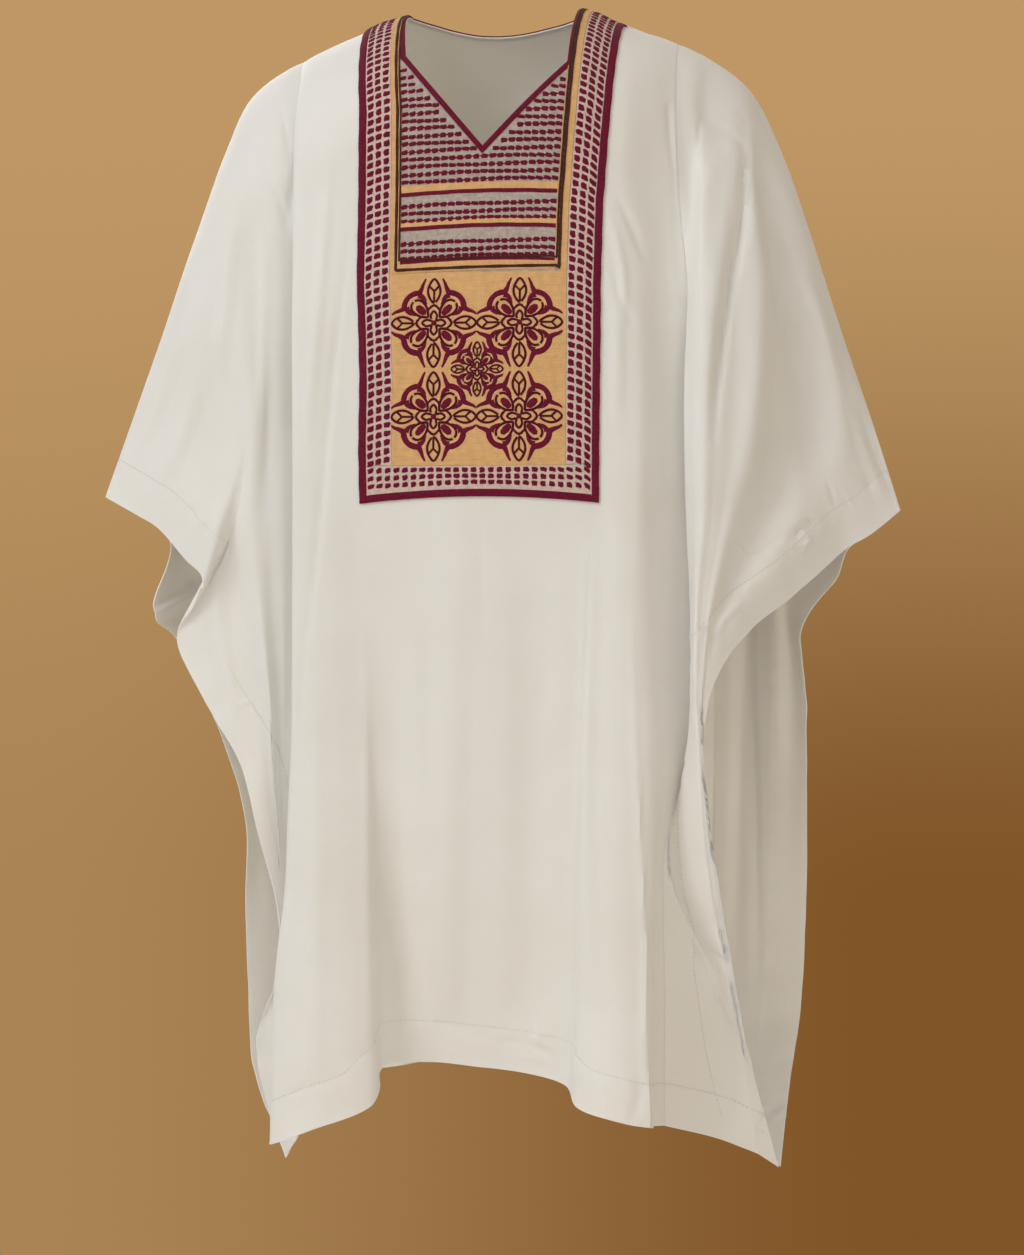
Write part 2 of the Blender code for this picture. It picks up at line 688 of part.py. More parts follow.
def cut_piece(surface, outline, holes=(), seen="front"):
    """Part of the surface inside an outline and outside the holes, as an open mesh."""
    mesh = surface.mesh()
    for shape in (outline, *holes):
        for start, end in zip(shape, shape[1:] + shape[:1]):
            cut_line(mesh, start, end, seen)
    keep_faces(mesh, seen, lambda x, y: inside(outline, x, y) and not any(inside(h, x, y) for h in holes))
    keep_main_body(mesh)
    return mesh


def shifted(outline, middle, distance):
    """The outline with each side moved outwards by distance, seen from its middle."""
    moved = []
    sides = []
    for (ax, az), (bx, bz) in zip(outline, outline[1:] + outline[:1]):
        direction = Vector((bx - ax, bz - az)).normalized()
        normal = Vector((direction.y, -direction.x))
        if normal.dot(Vector(((ax + bx) / 2, (az + bz) / 2)) - Vector(middle)) < 0:
            normal = -normal
        sides.append((Vector((ax, az)) + normal * distance, direction))
    for (p, d), (q, e) in zip(sides[-1:] + sides[:-1], sides):
        across = d.x * e.y - d.y * e.x
        t = ((q.x - p.x) * e.y - (q.y - p.y) * e.x) / across
        moved.append(tuple(p + d * t))
    return moved


def neck_outline(grow=0.0):
    """The neck's outline on the front, run on above the shoulders and grown by this length."""
    right_top = extend(NECK_CORNER_RIGHT, NECK_RIGHT, ABOVE)
    left_top = extend(NECK_CORNER_LEFT, NECK_LEFT, ABOVE)
    outline = [right_top, NECK_CORNER_RIGHT, NECK_TIP, NECK_CORNER_LEFT, left_top]
    return shifted(outline, NECK_MIDDLE, grow) if grow else outline


def back_neck_outline(grow=0.0):
    """The neck's outline on the back, seen from above as a half round, grown by this length."""
    middle = (NECK_RIGHT[0] + NECK_LEFT[0]) / 2
    half = (NECK_LEFT[0] - NECK_RIGHT[0]) / 2 + grow
    arc = [math.pi * step / NECK_BACK_STEPS for step in range(NECK_BACK_STEPS + 1)]
    outline = [(middle - half * math.cos(a), (NECK_BACK_REACH + grow) * math.sin(a)) for a in arc]
    return [(middle - half, AHEAD), *outline, (middle + half, AHEAD)]


def extend(start, end, height):
    """Point at this height on the line from start through end."""
    share = (height - start[1]) / (end[1] - start[1])
    return (start[0] + (end[0] - start[0]) * share, height)


def panel_side(xs, height):
    """The panel's edge at this height, straight between its stated points."""
    for (za, zb), (xa, xb) in zip(zip(PANEL_HEIGHTS, PANEL_HEIGHTS[1:]), zip(xs, xs[1:])):
        if height >= zb:
            break
    return xa + (xb - xa) * (height - za) / (zb - za)


def panel_box(inset_right, inset_left, top, bottom):
    """Outline between the panel's slanting sides, drawn in from each, and two heights."""
    bend = PANEL_HEIGHTS[1]
    heights = [top, bend, bottom] if bottom < bend < top else [top, bottom]
    right = [(panel_side(PANEL_RIGHT_X, z) + inset_right, z) for z in heights]
    left = [(panel_side(PANEL_LEFT_X, z) - inset_left, z) for z in heights]
    return right + left[::-1]


def panel_strip(side, start, width, top, bottom):
    """Outline of a strip that follows one side of the panel, start to start + width from it."""
    bend = PANEL_HEIGHTS[1]
    heights = [top, bend, bottom] if bottom < bend < top else [top, bottom]
    xs, sign = (PANEL_RIGHT_X, 1) if side == "right" else (PANEL_LEFT_X, -1)
    outer = [(panel_side(xs, z) + sign * start, z) for z in heights]
    inner = [(panel_side(xs, z) + sign * (start + width), z) for z in heights]
    return outer + inner[::-1]


def build_bodies():
    front_rows = trim(front_grid(), SEAM_TRIM, SEAM_TRIM, SEAM_TRIM)
    front = Surface(front_rows, (0, -1, 0), upright_top=True)
    mesh = cut_piece(front, everything(), [neck_outline()])
    make_wall("front_body", mesh, front.normal_at, -CLOTH_WALL, 0.0,
              cloth_material("front cloth", WHITE, CLOTH_ROUGHNESS))
    back_rows = trim(back_grid(), SEAM_TRIM, SEAM_TRIM, SEAM_TRIM)
    back = Surface(back_rows, (0, 1, 0), upright_top=True)
    mesh = cut_piece(back, everything(), [back_neck_outline()], seen="above")
    make_wall("back_body", mesh, back.normal_at, -CLOTH_WALL, 0.0,
              cloth_material("back cloth", WHITE, CLOTH_ROUGHNESS))
    return front, back


def build_sleeves():
    for side, outward in (("right", -1), ("left", 1)):
        rows = trim(sleeve_grid(side), SEAM_TRIM)
        surface = Surface(rows, (outward, 0, 0.6))
        make_wall(f"sleeve_{side}", surface.mesh(), surface.normal_at, -CLOTH_WALL, 0.0,
                  cloth_material(f"{side} sleeve cloth", WHITE, CLOTH_ROUGHNESS))


def build_panel(front):
    """The ground, borders and binding that lie on the front, each a layer moved out from it."""
    top = ABOVE
    bottom = PANEL_HEIGHTS[-1]
    inner = BINDING_WIDTH + BORDER_WIDTH
    binding_top = neck_outline(NECK_BINDING_WIDTH + TRIM_GAP)
    field_bottom = bottom + BINDING_WIDTH + BOTTOM_BORDER_HEIGHT
    low = PANEL_LIFT
    high = PANEL_LIFT + PANEL_WALL

    field = panel_box(inner + TRIM_GAP, inner + TRIM_GAP, top, field_bottom + TRIM_GAP)
    mesh = cut_piece(front, field, [binding_top])
    make_wall("chest_panel", mesh, front.normal_at, low, high,
              cloth_material("panel ground", TAN, PANEL_ROUGHNESS))

    for side in ("right", "left"):
        strip = panel_strip(side, BINDING_WIDTH + TRIM_GAP, BORDER_WIDTH - TRIM_GAP, top,
                            field_bottom + TRIM_GAP)
        make_wall(f"border_{side}", cut_piece(front, strip, [binding_top]), front.normal_at, low, high,
                  cloth_material(f"{side} border", DOT_GROUND, PANEL_ROUGHNESS))
    strip = panel_box(BINDING_WIDTH + TRIM_GAP, BINDING_WIDTH + TRIM_GAP, field_bottom,
                      bottom + BINDING_WIDTH + TRIM_GAP)
    make_wall("border_bottom", cut_piece(front, strip), front.normal_at, low, high,
              cloth_material("bottom border", DOT_GROUND, PANEL_ROUGHNESS))

    outer = panel_box(0.0, 0.0, top, bottom)
    hole = panel_box(BINDING_WIDTH, BINDING_WIDTH, FAR, bottom + BINDING_WIDTH)
    make_wall("panel_binding", cut_piece(front, outer, [hole]), front.normal_at, low, high + TRIM_WALL,
              cloth_material("panel binding", BURGUNDY, PANEL_ROUGHNESS))


def build_neck_bindings(front, back):
    """The narrow bindings round the neck, in front and behind."""
    low = PANEL_LIFT
    high = PANEL_LIFT + PANEL_WALL + TRIM_WALL
    mesh = cut_piece(front, neck_outline(NECK_BINDING_WIDTH), [neck_outline()])
    make_wall("neck_binding", mesh, front.normal_at, low, high,
              cloth_material("neck binding", BURGUNDY, PANEL_ROUGHNESS))
    mesh = cut_piece(back, back_neck_outline(NECK_BINDING_WIDTH), [back_neck_outline()], seen="above")
    make_wall("neck_binding_back", mesh, back.normal_at, low, high,
              cloth_material("back neck binding", BURGUNDY, PANEL_ROUGHNESS))


def build_braids(front):
    """The frame braid and the cross bands, which lie on the panel's ground."""
    top = ABOVE
    inner = BINDING_WIDTH + BORDER_WIDTH
    binding_top = neck_outline(NECK_BINDING_WIDTH + TRIM_GAP)
    braid_low = PANEL_LIFT + PANEL_WALL + TRIM_GAP
    braid_high = braid_low + TRIM_WALL
    right = inner + BRAID_INSET_RIGHT
    left = inner + BRAID_INSET_LEFT
    outer = panel_box(right, left, top, FRAME_BOTTOM)
    hole = panel_box(right + BRAID_WIDTH, left + BRAID_WIDTH, FAR, FRAME_BOTTOM + BRAID_BOTTOM_WIDTH)
    mesh = cut_piece(front, outer, [hole, binding_top])
    make_wall("braid_frame", mesh, front.normal_at, braid_low, braid_high,
              cloth_material("frame braid", BROWN, PANEL_ROUGHNESS))
    for name, height, width in CROSS_BANDS:
        inset = BRAID_WIDTH + TRIM_GAP
        band = panel_box(right + inset, left + inset, height + width / 2, height - width / 2)
        make_wall(name, cut_piece(front, band), front.normal_at, braid_low, braid_high,
                  cloth_material(name.replace("_", " "), BURGUNDY, PANEL_ROUGHNESS))


def main():
    clear_scene()
    front, back = build_bodies()
    build_sleeves()
    build_panel(front)
    build_neck_bindings(front, back)
    build_braids(front)


main()
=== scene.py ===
"""Dresses the agbada: white hanging cloth with turned hems and an embroidered chest panel.

The cloth is lofted again from the guides that give the garment its hollow worn shape, more
finely than the solids, and its creases are placed on it one by one. X runs to the viewer's
right, the front faces -Y and Z is up. The origin is the middle of the neck.
"""

import functools
import math

import bmesh
import bpy
import numpy as np
from bpy.props import FloatProperty, FloatVectorProperty, PointerProperty
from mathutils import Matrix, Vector, noise


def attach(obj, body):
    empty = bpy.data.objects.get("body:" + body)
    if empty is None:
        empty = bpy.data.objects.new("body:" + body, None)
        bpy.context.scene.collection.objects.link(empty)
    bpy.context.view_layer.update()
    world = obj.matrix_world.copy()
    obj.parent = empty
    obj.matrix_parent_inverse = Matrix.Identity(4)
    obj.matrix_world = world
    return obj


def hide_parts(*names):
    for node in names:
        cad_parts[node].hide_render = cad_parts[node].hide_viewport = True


bl_info = {
    "name": "Agbada robe",
    "version": (1, 0, 0),
    "blender": (4, 5, 0),
    "location": "View3D > Sidebar > Agbada",
    "description": "Hanging cloth, turned hems and an embroidered chest panel for a worn robe",
    "category": "Object",
}

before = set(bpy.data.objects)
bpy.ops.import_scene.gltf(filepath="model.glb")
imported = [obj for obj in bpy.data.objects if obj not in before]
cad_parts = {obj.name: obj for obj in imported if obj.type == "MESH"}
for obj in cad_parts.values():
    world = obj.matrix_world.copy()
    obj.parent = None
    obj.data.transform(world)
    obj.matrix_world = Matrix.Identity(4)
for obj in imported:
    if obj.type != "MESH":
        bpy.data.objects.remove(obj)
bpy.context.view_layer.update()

# The photograph's frame and the camera's place, in pixels and metres
FRAME_WIDTH = 1024
FRAME_HEIGHT = 1255
AXIS_PX = 494.0
LEVEL_PX = 627.5
FOCAL_PX = 3428.57
CAMERA_DISTANCE = 3.6
CAMERA_HEIGHT = -0.648
CAMERA_TURN = math.radians(7.0)
SENSOR = 36.0
PX_PER_METRE = 960.0
CHEST_PX_PER_METRE = 993.8
CHEST_AXIS_PX = 475.8

# How finely the cloth is lofted
ROWS = 290
GUIDE_STEPS = 400
GUIDE_POWER = 1.8
DOWN_POWER = 1.12
EDGE_POWER = 1.45
SHOULDER_ROUND = 0.15
SHARP = math.radians(50)
CUT_REACH = 0.006

# The ridge over each shoulder and arm, where the cloth folds from front to back
RIGHT_RIDGE = (
    (-0.089, 0.0, -0.004), (-0.135, 0.0, -0.024), (-0.177, 0.0, -0.041), (-0.223, 0.0, -0.062),
    (-0.245, 0.0, -0.075), (-0.266, 0.0, -0.101), (-0.282, -0.01, -0.143), (-0.302, -0.02, -0.201),
    (-0.329, -0.03, -0.286), (-0.359, -0.04, -0.377), (-0.405, -0.05, -0.511),
)
LEFT_RIDGE = (
    (0.094, 0.0, 0.0), (0.133, 0.0, -0.02), (0.18, 0.0, -0.035), (0.224, 0.0, -0.055),
    (0.248, 0.0, -0.07), (0.268, 0.0, -0.089), (0.29, 0.0, -0.127), (0.303, -0.01, -0.159),
    (0.319, -0.015, -0.199), (0.334, -0.02, -0.25), (0.362, -0.03, -0.338), (0.393, -0.04, -0.43),
    (0.424, -0.05, -0.528),
)

# Neck outline on the front, as x and height, and how far it reaches behind
NECK_RIGHT = (-0.089, 0.010)
NECK_CORNER_RIGHT = (-0.075, -0.068)
NECK_TIP = (0.007, -0.163)
NECK_CORNER_LEFT = (0.090, -0.077)
NECK_LEFT = (0.094, 0.010)
NECK_BACK_REACH = 0.060
NECK_BACK_STEPS = 30
NECK_MIDDLE = (0.0, -0.03)

# How far the neck's outlines run on past the cloth, above the shoulders and ahead of them
ABOVE = 0.05
AHEAD = -0.02

# Guides of the front body, from the right seam to the left one: name, the x at the
# shoulder, then x and y at each section height, and last the hem's height, x and y
BODY_HEIGHTS = (-0.20, -0.42, -0.72, -0.89, -1.02)
FRONT_GUIDES = (
    ("seam_right", -0.2, (-0.184, -0.172, -0.169, -0.174, -0.184),
     (-0.09, -0.093, -0.097, -0.103, -0.114), (-1.16, -0.184, -0.13)),
    ("under_right", -0.195, (-0.188, -0.181, -0.179, -0.184, -0.195),
     (-0.112, -0.136, -0.145, -0.152, -0.158), (-1.163, -0.197, -0.164)),
    ("crest_right", -0.19, (-0.191, -0.187, -0.185, -0.189, -0.201),
     (-0.124, -0.154, -0.166, -0.177, -0.184), (-1.166, -0.203, -0.19)),
    ("column_right", -0.165, (-0.16, -0.154, -0.151, -0.152, -0.156),
     (-0.137, -0.161, -0.177, -0.193, -0.206), (-1.147, -0.156, -0.217)),
    ("step_right", -0.134, (-0.127, -0.122, -0.114, -0.108, -0.102),
     (-0.143, -0.163, -0.173, -0.184, -0.194), (-1.123, -0.097, -0.203)),
    ("recess_right", -0.108, (-0.104, -0.104, -0.1, -0.096, -0.092),
     (-0.147, -0.166, -0.17, -0.166, -0.16), (-1.09, -0.092, -0.157)),
    ("mid_right", -0.052, (-0.051, -0.051, -0.049, -0.047, -0.045),
     (-0.15, -0.169, -0.171, -0.165, -0.157), (-1.086, -0.043, -0.15)),
    ("centre", 0.002, (0.002, 0.002, 0.002, 0.003, 0.003), (-0.151, -0.17, -0.172, -0.165, -0.157),
     (-1.09, 0.003, -0.15)),
    ("mid_left", 0.055, (0.054, 0.054, 0.052, 0.05, 0.049), (-0.15, -0.169, -0.171, -0.165, -0.158),
     (-1.095, 0.048, -0.151)),
    ("recess_left", 0.108, (0.106, 0.106, 0.102, 0.099, 0.096), (-0.146, -0.165, -0.169, -0.168, -0.164),
     (-1.106, 0.093, -0.164)),
    ("step_left", 0.13, (0.125, 0.124, 0.118, 0.114, 0.11), (-0.142, -0.162, -0.172, -0.181, -0.189),
     (-1.123, 0.107, -0.195)),
    ("column_left", 0.155, (0.148, 0.15, 0.15, 0.149, 0.147), (-0.137, -0.161, -0.178, -0.191, -0.203),
     (-1.133, 0.145, -0.216)),
    ("crest_left", 0.175, (0.167, 0.173, 0.178, 0.179, 0.179), (-0.126, -0.154, -0.171, -0.183, -0.193),
     (-1.141, 0.179, -0.203)),
    ("under_left", 0.186, (0.186, 0.197, 0.197, 0.182, 0.182), (-0.115, -0.126, -0.138, -0.16, -0.168),
     (-1.143, 0.181, -0.176)),
    ("seam_left", 0.195, (0.201, 0.223, 0.225, 0.188, 0.19), (-0.107, -0.114, -0.122, -0.142, -0.15),
     (-1.146, 0.19, -0.15)),
)
FRONT_CELLS = (5, 6, 9, 10, 8, 14, 13, 13, 13, 8, 9, 9, 6, 6)

# Guides of the back body in the same form
BACK_GUIDES = (
    ("seam_right", -0.2, (-0.198, -0.196, -0.192, -0.19, -0.189), (0.092, 0.104, 0.112, 0.116, 0.118),
     (-1.146, -0.188, 0.12)),
    ("crest_right", -0.184, (-0.178, -0.176, -0.176, -0.18, -0.184), (0.112, 0.136, 0.152, 0.164, 0.172),
     (-1.142, -0.188, 0.18)),
    ("trough_right", -0.13, (-0.126, -0.122, -0.12, -0.12, -0.12), (0.128, 0.144, 0.146, 0.146, 0.146),
     (-1.128, -0.12, 0.147)),
    ("ridge_right", -0.08, (-0.074, -0.07, -0.066, -0.064, -0.062), (0.132, 0.151, 0.166, 0.178, 0.187),
     (-1.12, -0.06, 0.193)),
    ("trough_mid", -0.02, (-0.014, -0.008, 0.0, 0.004, 0.006), (0.133, 0.148, 0.152, 0.154, 0.155),
     (-1.112, 0.008, 0.156)),
    ("ridge_left", 0.05, (0.054, 0.06, 0.066, 0.07, 0.072), (0.132, 0.151, 0.168, 0.18, 0.19),
     (-1.12, 0.074, 0.196)),
    ("trough_left", 0.115, (0.118, 0.12, 0.124, 0.126, 0.128), (0.126, 0.143, 0.148, 0.15, 0.15),
     (-1.13, 0.128, 0.15)),
    ("crest_left", 0.176, (0.176, 0.178, 0.18, 0.182, 0.184), (0.11, 0.136, 0.154, 0.164, 0.172),
     (-1.142, 0.186, 0.18)),
    ("seam_left", 0.195, (0.197, 0.197, 0.194, 0.191, 0.189), (0.09, 0.104, 0.112, 0.116, 0.118),
     (-1.148, 0.188, 0.12)),
)
BACK_CELLS = (11, 14, 13, 14, 14, 14, 14, 12)

# Guides of each sleeve near its seam, front and back, in the same form
RIGHT_TUCK_FRONT = (
    "tuck", -0.216, (-0.212, -0.206, -0.203, -0.203, -0.2),
    (-0.092, -0.1, -0.104, -0.104, -0.098), (-1.172, -0.192, -0.096))
RIGHT_TUCK_BACK = (
    "tuck", -0.216, (-0.222, -0.224, -0.222, -0.22, -0.216),
    (0.098, 0.12, 0.132, 0.136, 0.132), (-1.158, -0.208, 0.1))
LEFT_TUCK_FRONT = (
    "tuck", 0.214, (0.215, 0.209, 0.216, 0.198, 0.243),
    (-0.101, -0.142, -0.152, -0.138, -0.112), (-1.168, 0.243, -0.088))
LEFT_TUCK_BACK = (
    "tuck", 0.214, (0.222, 0.224, 0.222, 0.22, 0.216),
    (0.098, 0.12, 0.132, 0.136, 0.132), (-1.16, 0.21, 0.1))

# The crest of the left sleeve's front fold, as height, x and y below the ridge
LEFT_CREST = (
    (-0.13, 0.228, -0.089), (-0.2, 0.227, -0.114), (-0.304, 0.227, -0.143), (-0.421, 0.229, -0.16),
    (-0.521, 0.229, -0.17), (-0.621, 0.223, -0.178), (-0.698, 0.222, -0.184), (-0.756, 0.225, -0.184),
    (-0.83, 0.228, -0.176), (-0.909, 0.236, -0.164), (-0.97, 0.247, -0.148), (-1.062, 0.264, -0.116),
    (-1.184, 0.28, -0.074),
)
LEFT_CREST_SHOULDER = 0.226
BACK_CREST_SHARE = 0.04

# Height of the notch in the right cuff, how far to both sides its hem lies flat, and the
# length over which the hem comes back
NOTCH_HEIGHT = -0.625
NOTCH_REACH = 0.045
NOTCH_BLEND = 0.03

# Free front and back edges of the sleeves below the cuff's tip, as x, y and height
RIGHT_EDGE_FRONT = (
    (-0.405, -0.05, -0.511), (-0.366, -0.07, -0.531), (-0.341, -0.082, -0.545),
    (-0.308, -0.098, -0.579), (-0.289, -0.106, -0.597), (-0.299, -0.098, -0.625),
    (-0.322, -0.08, -0.659), (-0.29, -0.092, -0.723), (-0.249, -0.108, -0.789), (-0.23, -0.118, -0.855),
    (-0.207, -0.118, -0.946), (-0.214, -0.104, -1.01), (-0.24, -0.07, -1.08), (-0.228, -0.06, -1.15),
    (-0.21, -0.06, -1.199),
)
RIGHT_EDGE_BACK = (
    (-0.405, -0.05, -0.511), (-0.374, -0.02, -0.527), (-0.346, 0.0, -0.558), (-0.365, 0.0, -0.635),
    (-0.345, 0.02, -0.658), (-0.31, 0.055, -0.745), (-0.281, 0.08, -0.857), (-0.282, 0.086, -0.944),
    (-0.276, 0.07, -1.03), (-0.26, 0.02, -1.117), (-0.211, -0.0545, -1.199),
)
LEFT_EDGE_FRONT = (
    (0.424, -0.05, -0.528), (0.393, -0.07, -0.554), (0.371, -0.08, -0.567), (0.324, -0.115, -0.61),
    (0.273, -0.15, -0.653), (0.244, -0.172, -0.695), (0.233, -0.18, -0.738), (0.23, -0.18, -0.79),
    (0.24, -0.17, -0.869), (0.254, -0.148, -0.965), (0.27, -0.118, -1.063), (0.284, -0.09, -1.13),
    (0.3, -0.06, -1.199),
)
LEFT_EDGE_BACK = (
    (0.424, -0.05, -0.528), (0.398, -0.022, -0.548), (0.37, 0.0, -0.566), (0.356, 0.03, -0.598),
    (0.321, 0.06, -0.645), (0.323, 0.08, -0.725), (0.324, 0.1, -0.886), (0.322, 0.1, -0.971),
    (0.318, 0.08, -1.054), (0.309, 0.02, -1.121), (0.301, -0.0545, -1.199),
)
SLEEVE_SHARES = (0.10, 0.24, 0.42, 0.62, 0.82)
SLEEVE_CELLS_RIGHT = (10, 6, 8, 11, 12, 12, 11)
SLEEVE_CELLS_LEFT = (8, 6, 5, 8, 11, 12, 12, 11)

# Broad soft folds of the sleeves: share across and down at the start and at the end,
# half width as a share across, and depth, where a minus sign is a trough
SLEEVE_FOLD_COLUMNS = ("from_across", "from_down", "to_across", "to_down", "half", "depth")
RIGHT_FOLDS_FRONT = (
    (0.55, 0.1, 0.5, 0.62, 0.16, -0.01),
    (0.3, 0.12, 0.3, 0.8, 0.14, 0.01),
    (0.78, 0.12, 0.72, 0.5, 0.14, 0.008),
)
LEFT_FOLDS_FRONT = (
    (0.62, 0.06, 0.6, 0.5, 0.15, -0.012),
    (0.36, 0.06, 0.34, 0.6, 0.12, 0.01),
    (0.84, 0.1, 0.8, 0.45, 0.12, 0.008),
)
FOLDS_BACK = (
    (0.3, 0.12, 0.28, 0.9, 0.14, 0.012),
    (0.55, 0.1, 0.55, 0.8, 0.14, -0.012),
    (0.8, 0.12, 0.78, 0.6, 0.13, 0.008),
)

# Creases: name, the points that it passes as places in the photograph's frame, its half
# width in millimetres to the viewer's left and to the right, how peaked it is from 0 to 1,
# and its depth in millimetres at the start, middle and end, where a minus sign is a trough
CREASE_COLUMNS = ("name", "points", "left", "right", "peak", "depths")
FRONT_CREASES = (
    ("collar pull", ((669, 107), (671, 140), (675, 170), (678, 233), (681, 300)), 6, 6, 0.5,
     (-2.5, -6.0, -2.0)),
    ("panel pull", ((612, 190), (625, 213), (637, 240), (648, 267)), 8, 10, 0.5, (0, -3.0, 0)),
    ("panel pull crest", ((603, 200), (614, 232), (622, 268), (626, 330)), 9, 9, 0.2, (0, 2.5, 0)),
    ("second pull", ((610, 247), (620, 300), (637, 333)), 7, 8, 0.4, (0, -2.0, 0)),
    ("panel edge fold", ((616, 283), (617, 360), (616, 430)), 10, 12, 0.1, (0, 2.5, 0)),
    ("under arm shade", ((655, 270), (660, 400), (655, 560), (656, 760)), 24, 22, 0.0, (-1.0, -4.0, 0)),
    ("left column", ((590, 505), (589, 640), (586, 800), (590, 1000)), 14, 14, 0.1, (0, 3.0, 1.5)),
    ("left column line", ((592, 510), (580, 780), (572, 930), (575, 1020)), 5, 6, 0.6, (0, -1.6, 0)),
    ("left edge fold", ((630, 570), (637, 760), (645, 940), (647, 1125)), 9, 4, 0.7, (0, 3.0, 4.0)),
    ("left hollow", ((528, 530), (535, 700), (530, 860), (528, 1010)), 34, 34, 0.0, (0, -4.5, -3)),
    ("middle line", ((481, 505), (481, 580), (482, 655)), 4, 4, 0.8, (0, -1.7, 0)),
    ("middle swell", ((455, 540), (450, 760), (445, 1000)), 30, 26, 0.0, (0, 3.0, 2.0)),
    ("right trough", ((385, 630), (396, 800), (402, 900), (400, 1010)), 24, 30, 0.0, (0, -3.6, -2.0)),
    ("right line", ((368, 645), (369, 850), (371, 1030)), 12, 9, 0.3, (0, 1.4, 1.0)),
    ("right column", ((312, 520), (314, 800), (312, 1060)), 18, 18, 0.0, (0, 2.5, 1.5)),
    ("right shoulder pull",
     ((350, 213), (343, 283), (333, 367), (328, 417), (320, 510), (305, 645), (295, 755)), 9, 8, 0.6,
     (0, -2.6, -0.8)),
    ("right shoulder crest", ((330, 150), (322, 260), (312, 380), (303, 480)), 12, 10, 0.2, (0, 2.8, 0)),
    ("hem pucker a", ((497, 1040), (512, 1046), (527, 1052)), 4, 5, 0.6, (0, -1.6, 0)),
    ("hem pucker b", ((530, 1036), (548, 1044), (562, 1060)), 4, 5, 0.6, (0, 1.8, 0)),
    ("hem pucker c", ((592, 1064), (606, 1076), (612, 1092)), 5, 5, 0.5, (0, -1.6, 0)),
    ("hem pucker d", ((616, 1066), (628, 1078), (632, 1098)), 5, 5, 0.5, (0, 1.6, 0)),
    ("hem wrinkle a", ((436, 1022), (468, 1031), (500, 1041)), 4, 4, 0.5, (0, -1.6, 0)),
    ("hem wrinkle b", ((500, 1035), (535, 1046), (562, 1059)), 4, 5, 0.5, (0, -2.0, 0)),
    ("hem wrinkle c", ((508, 1048), (535, 1056), (556, 1066)), 4, 4, 0.5, (0, 1.6, 0)),
    ("hem wrinkle d", ((277, 1092), (310, 1088), (343, 1080)), 4, 4, 0.5, (0, -1.5, 0)),
    ("hem corner", ((646, 1075), (640, 1096), (632, 1120)), 7, 6, 0.6, (0, -3.0, -1.5)),
    ("hem pucker e", ((300, 1084), (318, 1092), (326, 1104)), 5, 5, 0.5, (0, 1.4, 0)),
    ("hem pucker f", ((404, 1030), (416, 1044), (420, 1058)), 5, 5, 0.5, (0, -1.4, 0)),
)
LEFT_SLEEVE_CREASES = (
    ("gather pleat", ((745, 117), (744, 173), (742, 227), (735, 260), (727, 311), (717, 390), (713, 440)),
     8, 7, 0.4, (-2.0, -7.5, -1.0)),
    ("gather crest", ((741, 120), (733, 165), (729, 210), (721, 260), (713, 320), (705, 400)), 18, 7, 0.3,
     (0, 4.0, 1.0)),
    ("outer crest", ((746, 122), (749, 170), (753, 227), (757, 290), (757, 360), (750, 470)), 26, 24, 0.1,
     (1.0, 8.0, 2.0)),
    ("fold edge", ((740, 120), (722, 148), (706, 178), (694, 220), (686, 267)), 5, 14, 0.5,
     (0, 1.6, 1.2)),
    ("gather wrinkle a", ((741, 119), (728, 132), (716, 136)), 4, 4, 0.5, (-0.5, -1.6, 0)),
    ("gather wrinkle b", ((741, 120), (732, 146), (724, 165)), 4, 4, 0.5, (-0.5, -2.0, 0)),
    ("fold valley", ((686, 300), (688, 400), (688, 500), (688, 600), (690, 667), (700, 733)), 6, 8, 0.3,
     (-1.0, -3.0, 0)),
    ("short pucker", ((700, 117), (699, 130), (698, 150)), 5, 6, 0.5, (0, -1.4, 0)),
    ("arm trough", ((760, 118), (773, 210), (788, 290), (801, 360), (811, 430), (815, 495)), 26, 30, 0.0,
     (-3.0, -10.0, -2.0)),
    ("inner trough", ((768, 290), (772, 390), (774, 520)), 28, 28, 0.0, (0, -2.5, 0)),
    ("outer band", ((791, 250), (820, 324), (838, 400), (850, 467)), 18, 16, 0.1, (0, 5.5, 0)),
    ("outer edge", ((858, 400), (872, 440), (893, 497)), 12, 10, 0.3, (0, -4.0, -1.0)),
    ("cuff wrinkle a", ((733, 543), (741, 551), (750, 561)), 4, 5, 0.5, (0, 2.2, 0)),
    ("cuff patch", ((712, 640), (724, 618), (742, 598)), 9, 9, 0.1, (0, 2.6, 0)),
    ("cuff wrinkle b", ((785, 545), (800, 531), (815, 519)), 5, 5, 0.6, (0, -4.0, 0)),
    ("cuff wrinkle c", ((797, 552), (808, 541), (820, 530)), 4, 4, 0.6, (0, 2.8, 0)),
    ("cuff wrinkle d", ((829, 480), (832, 492), (834, 506)), 4, 4, 0.5, (0, -2.0, 0)),
    ("cuff wrinkle e", ((858, 489), (868, 484), (880, 476)), 4, 4, 0.5, (0, -2.0, 0)),
    ("cuff line", ((725, 567), (757, 552), (790, 532), (816, 518)), 5, 5, 0.4, (0, -1.6, 0)),
    ("lower band", ((667, 790), (668, 883), (680, 917), (700, 953), (723, 1000), (743, 1040)), 4, 14, 0.6,
     (0.5, 5.0, 1.5)),
    ("lower wrinkle", ((700, 946), (714, 953), (730, 963)), 4, 4, 0.5, (0, -2.4, 0)),
    ("corner pucker", ((754, 1130), (763, 1133), (772, 1136)), 4, 4, 0.5, (0, -1.8, 0)),
    ("lower swell", ((700, 1040), (715, 1090), (735, 1130)), 14, 14, 0.0, (0, 2.0, 0)),
)
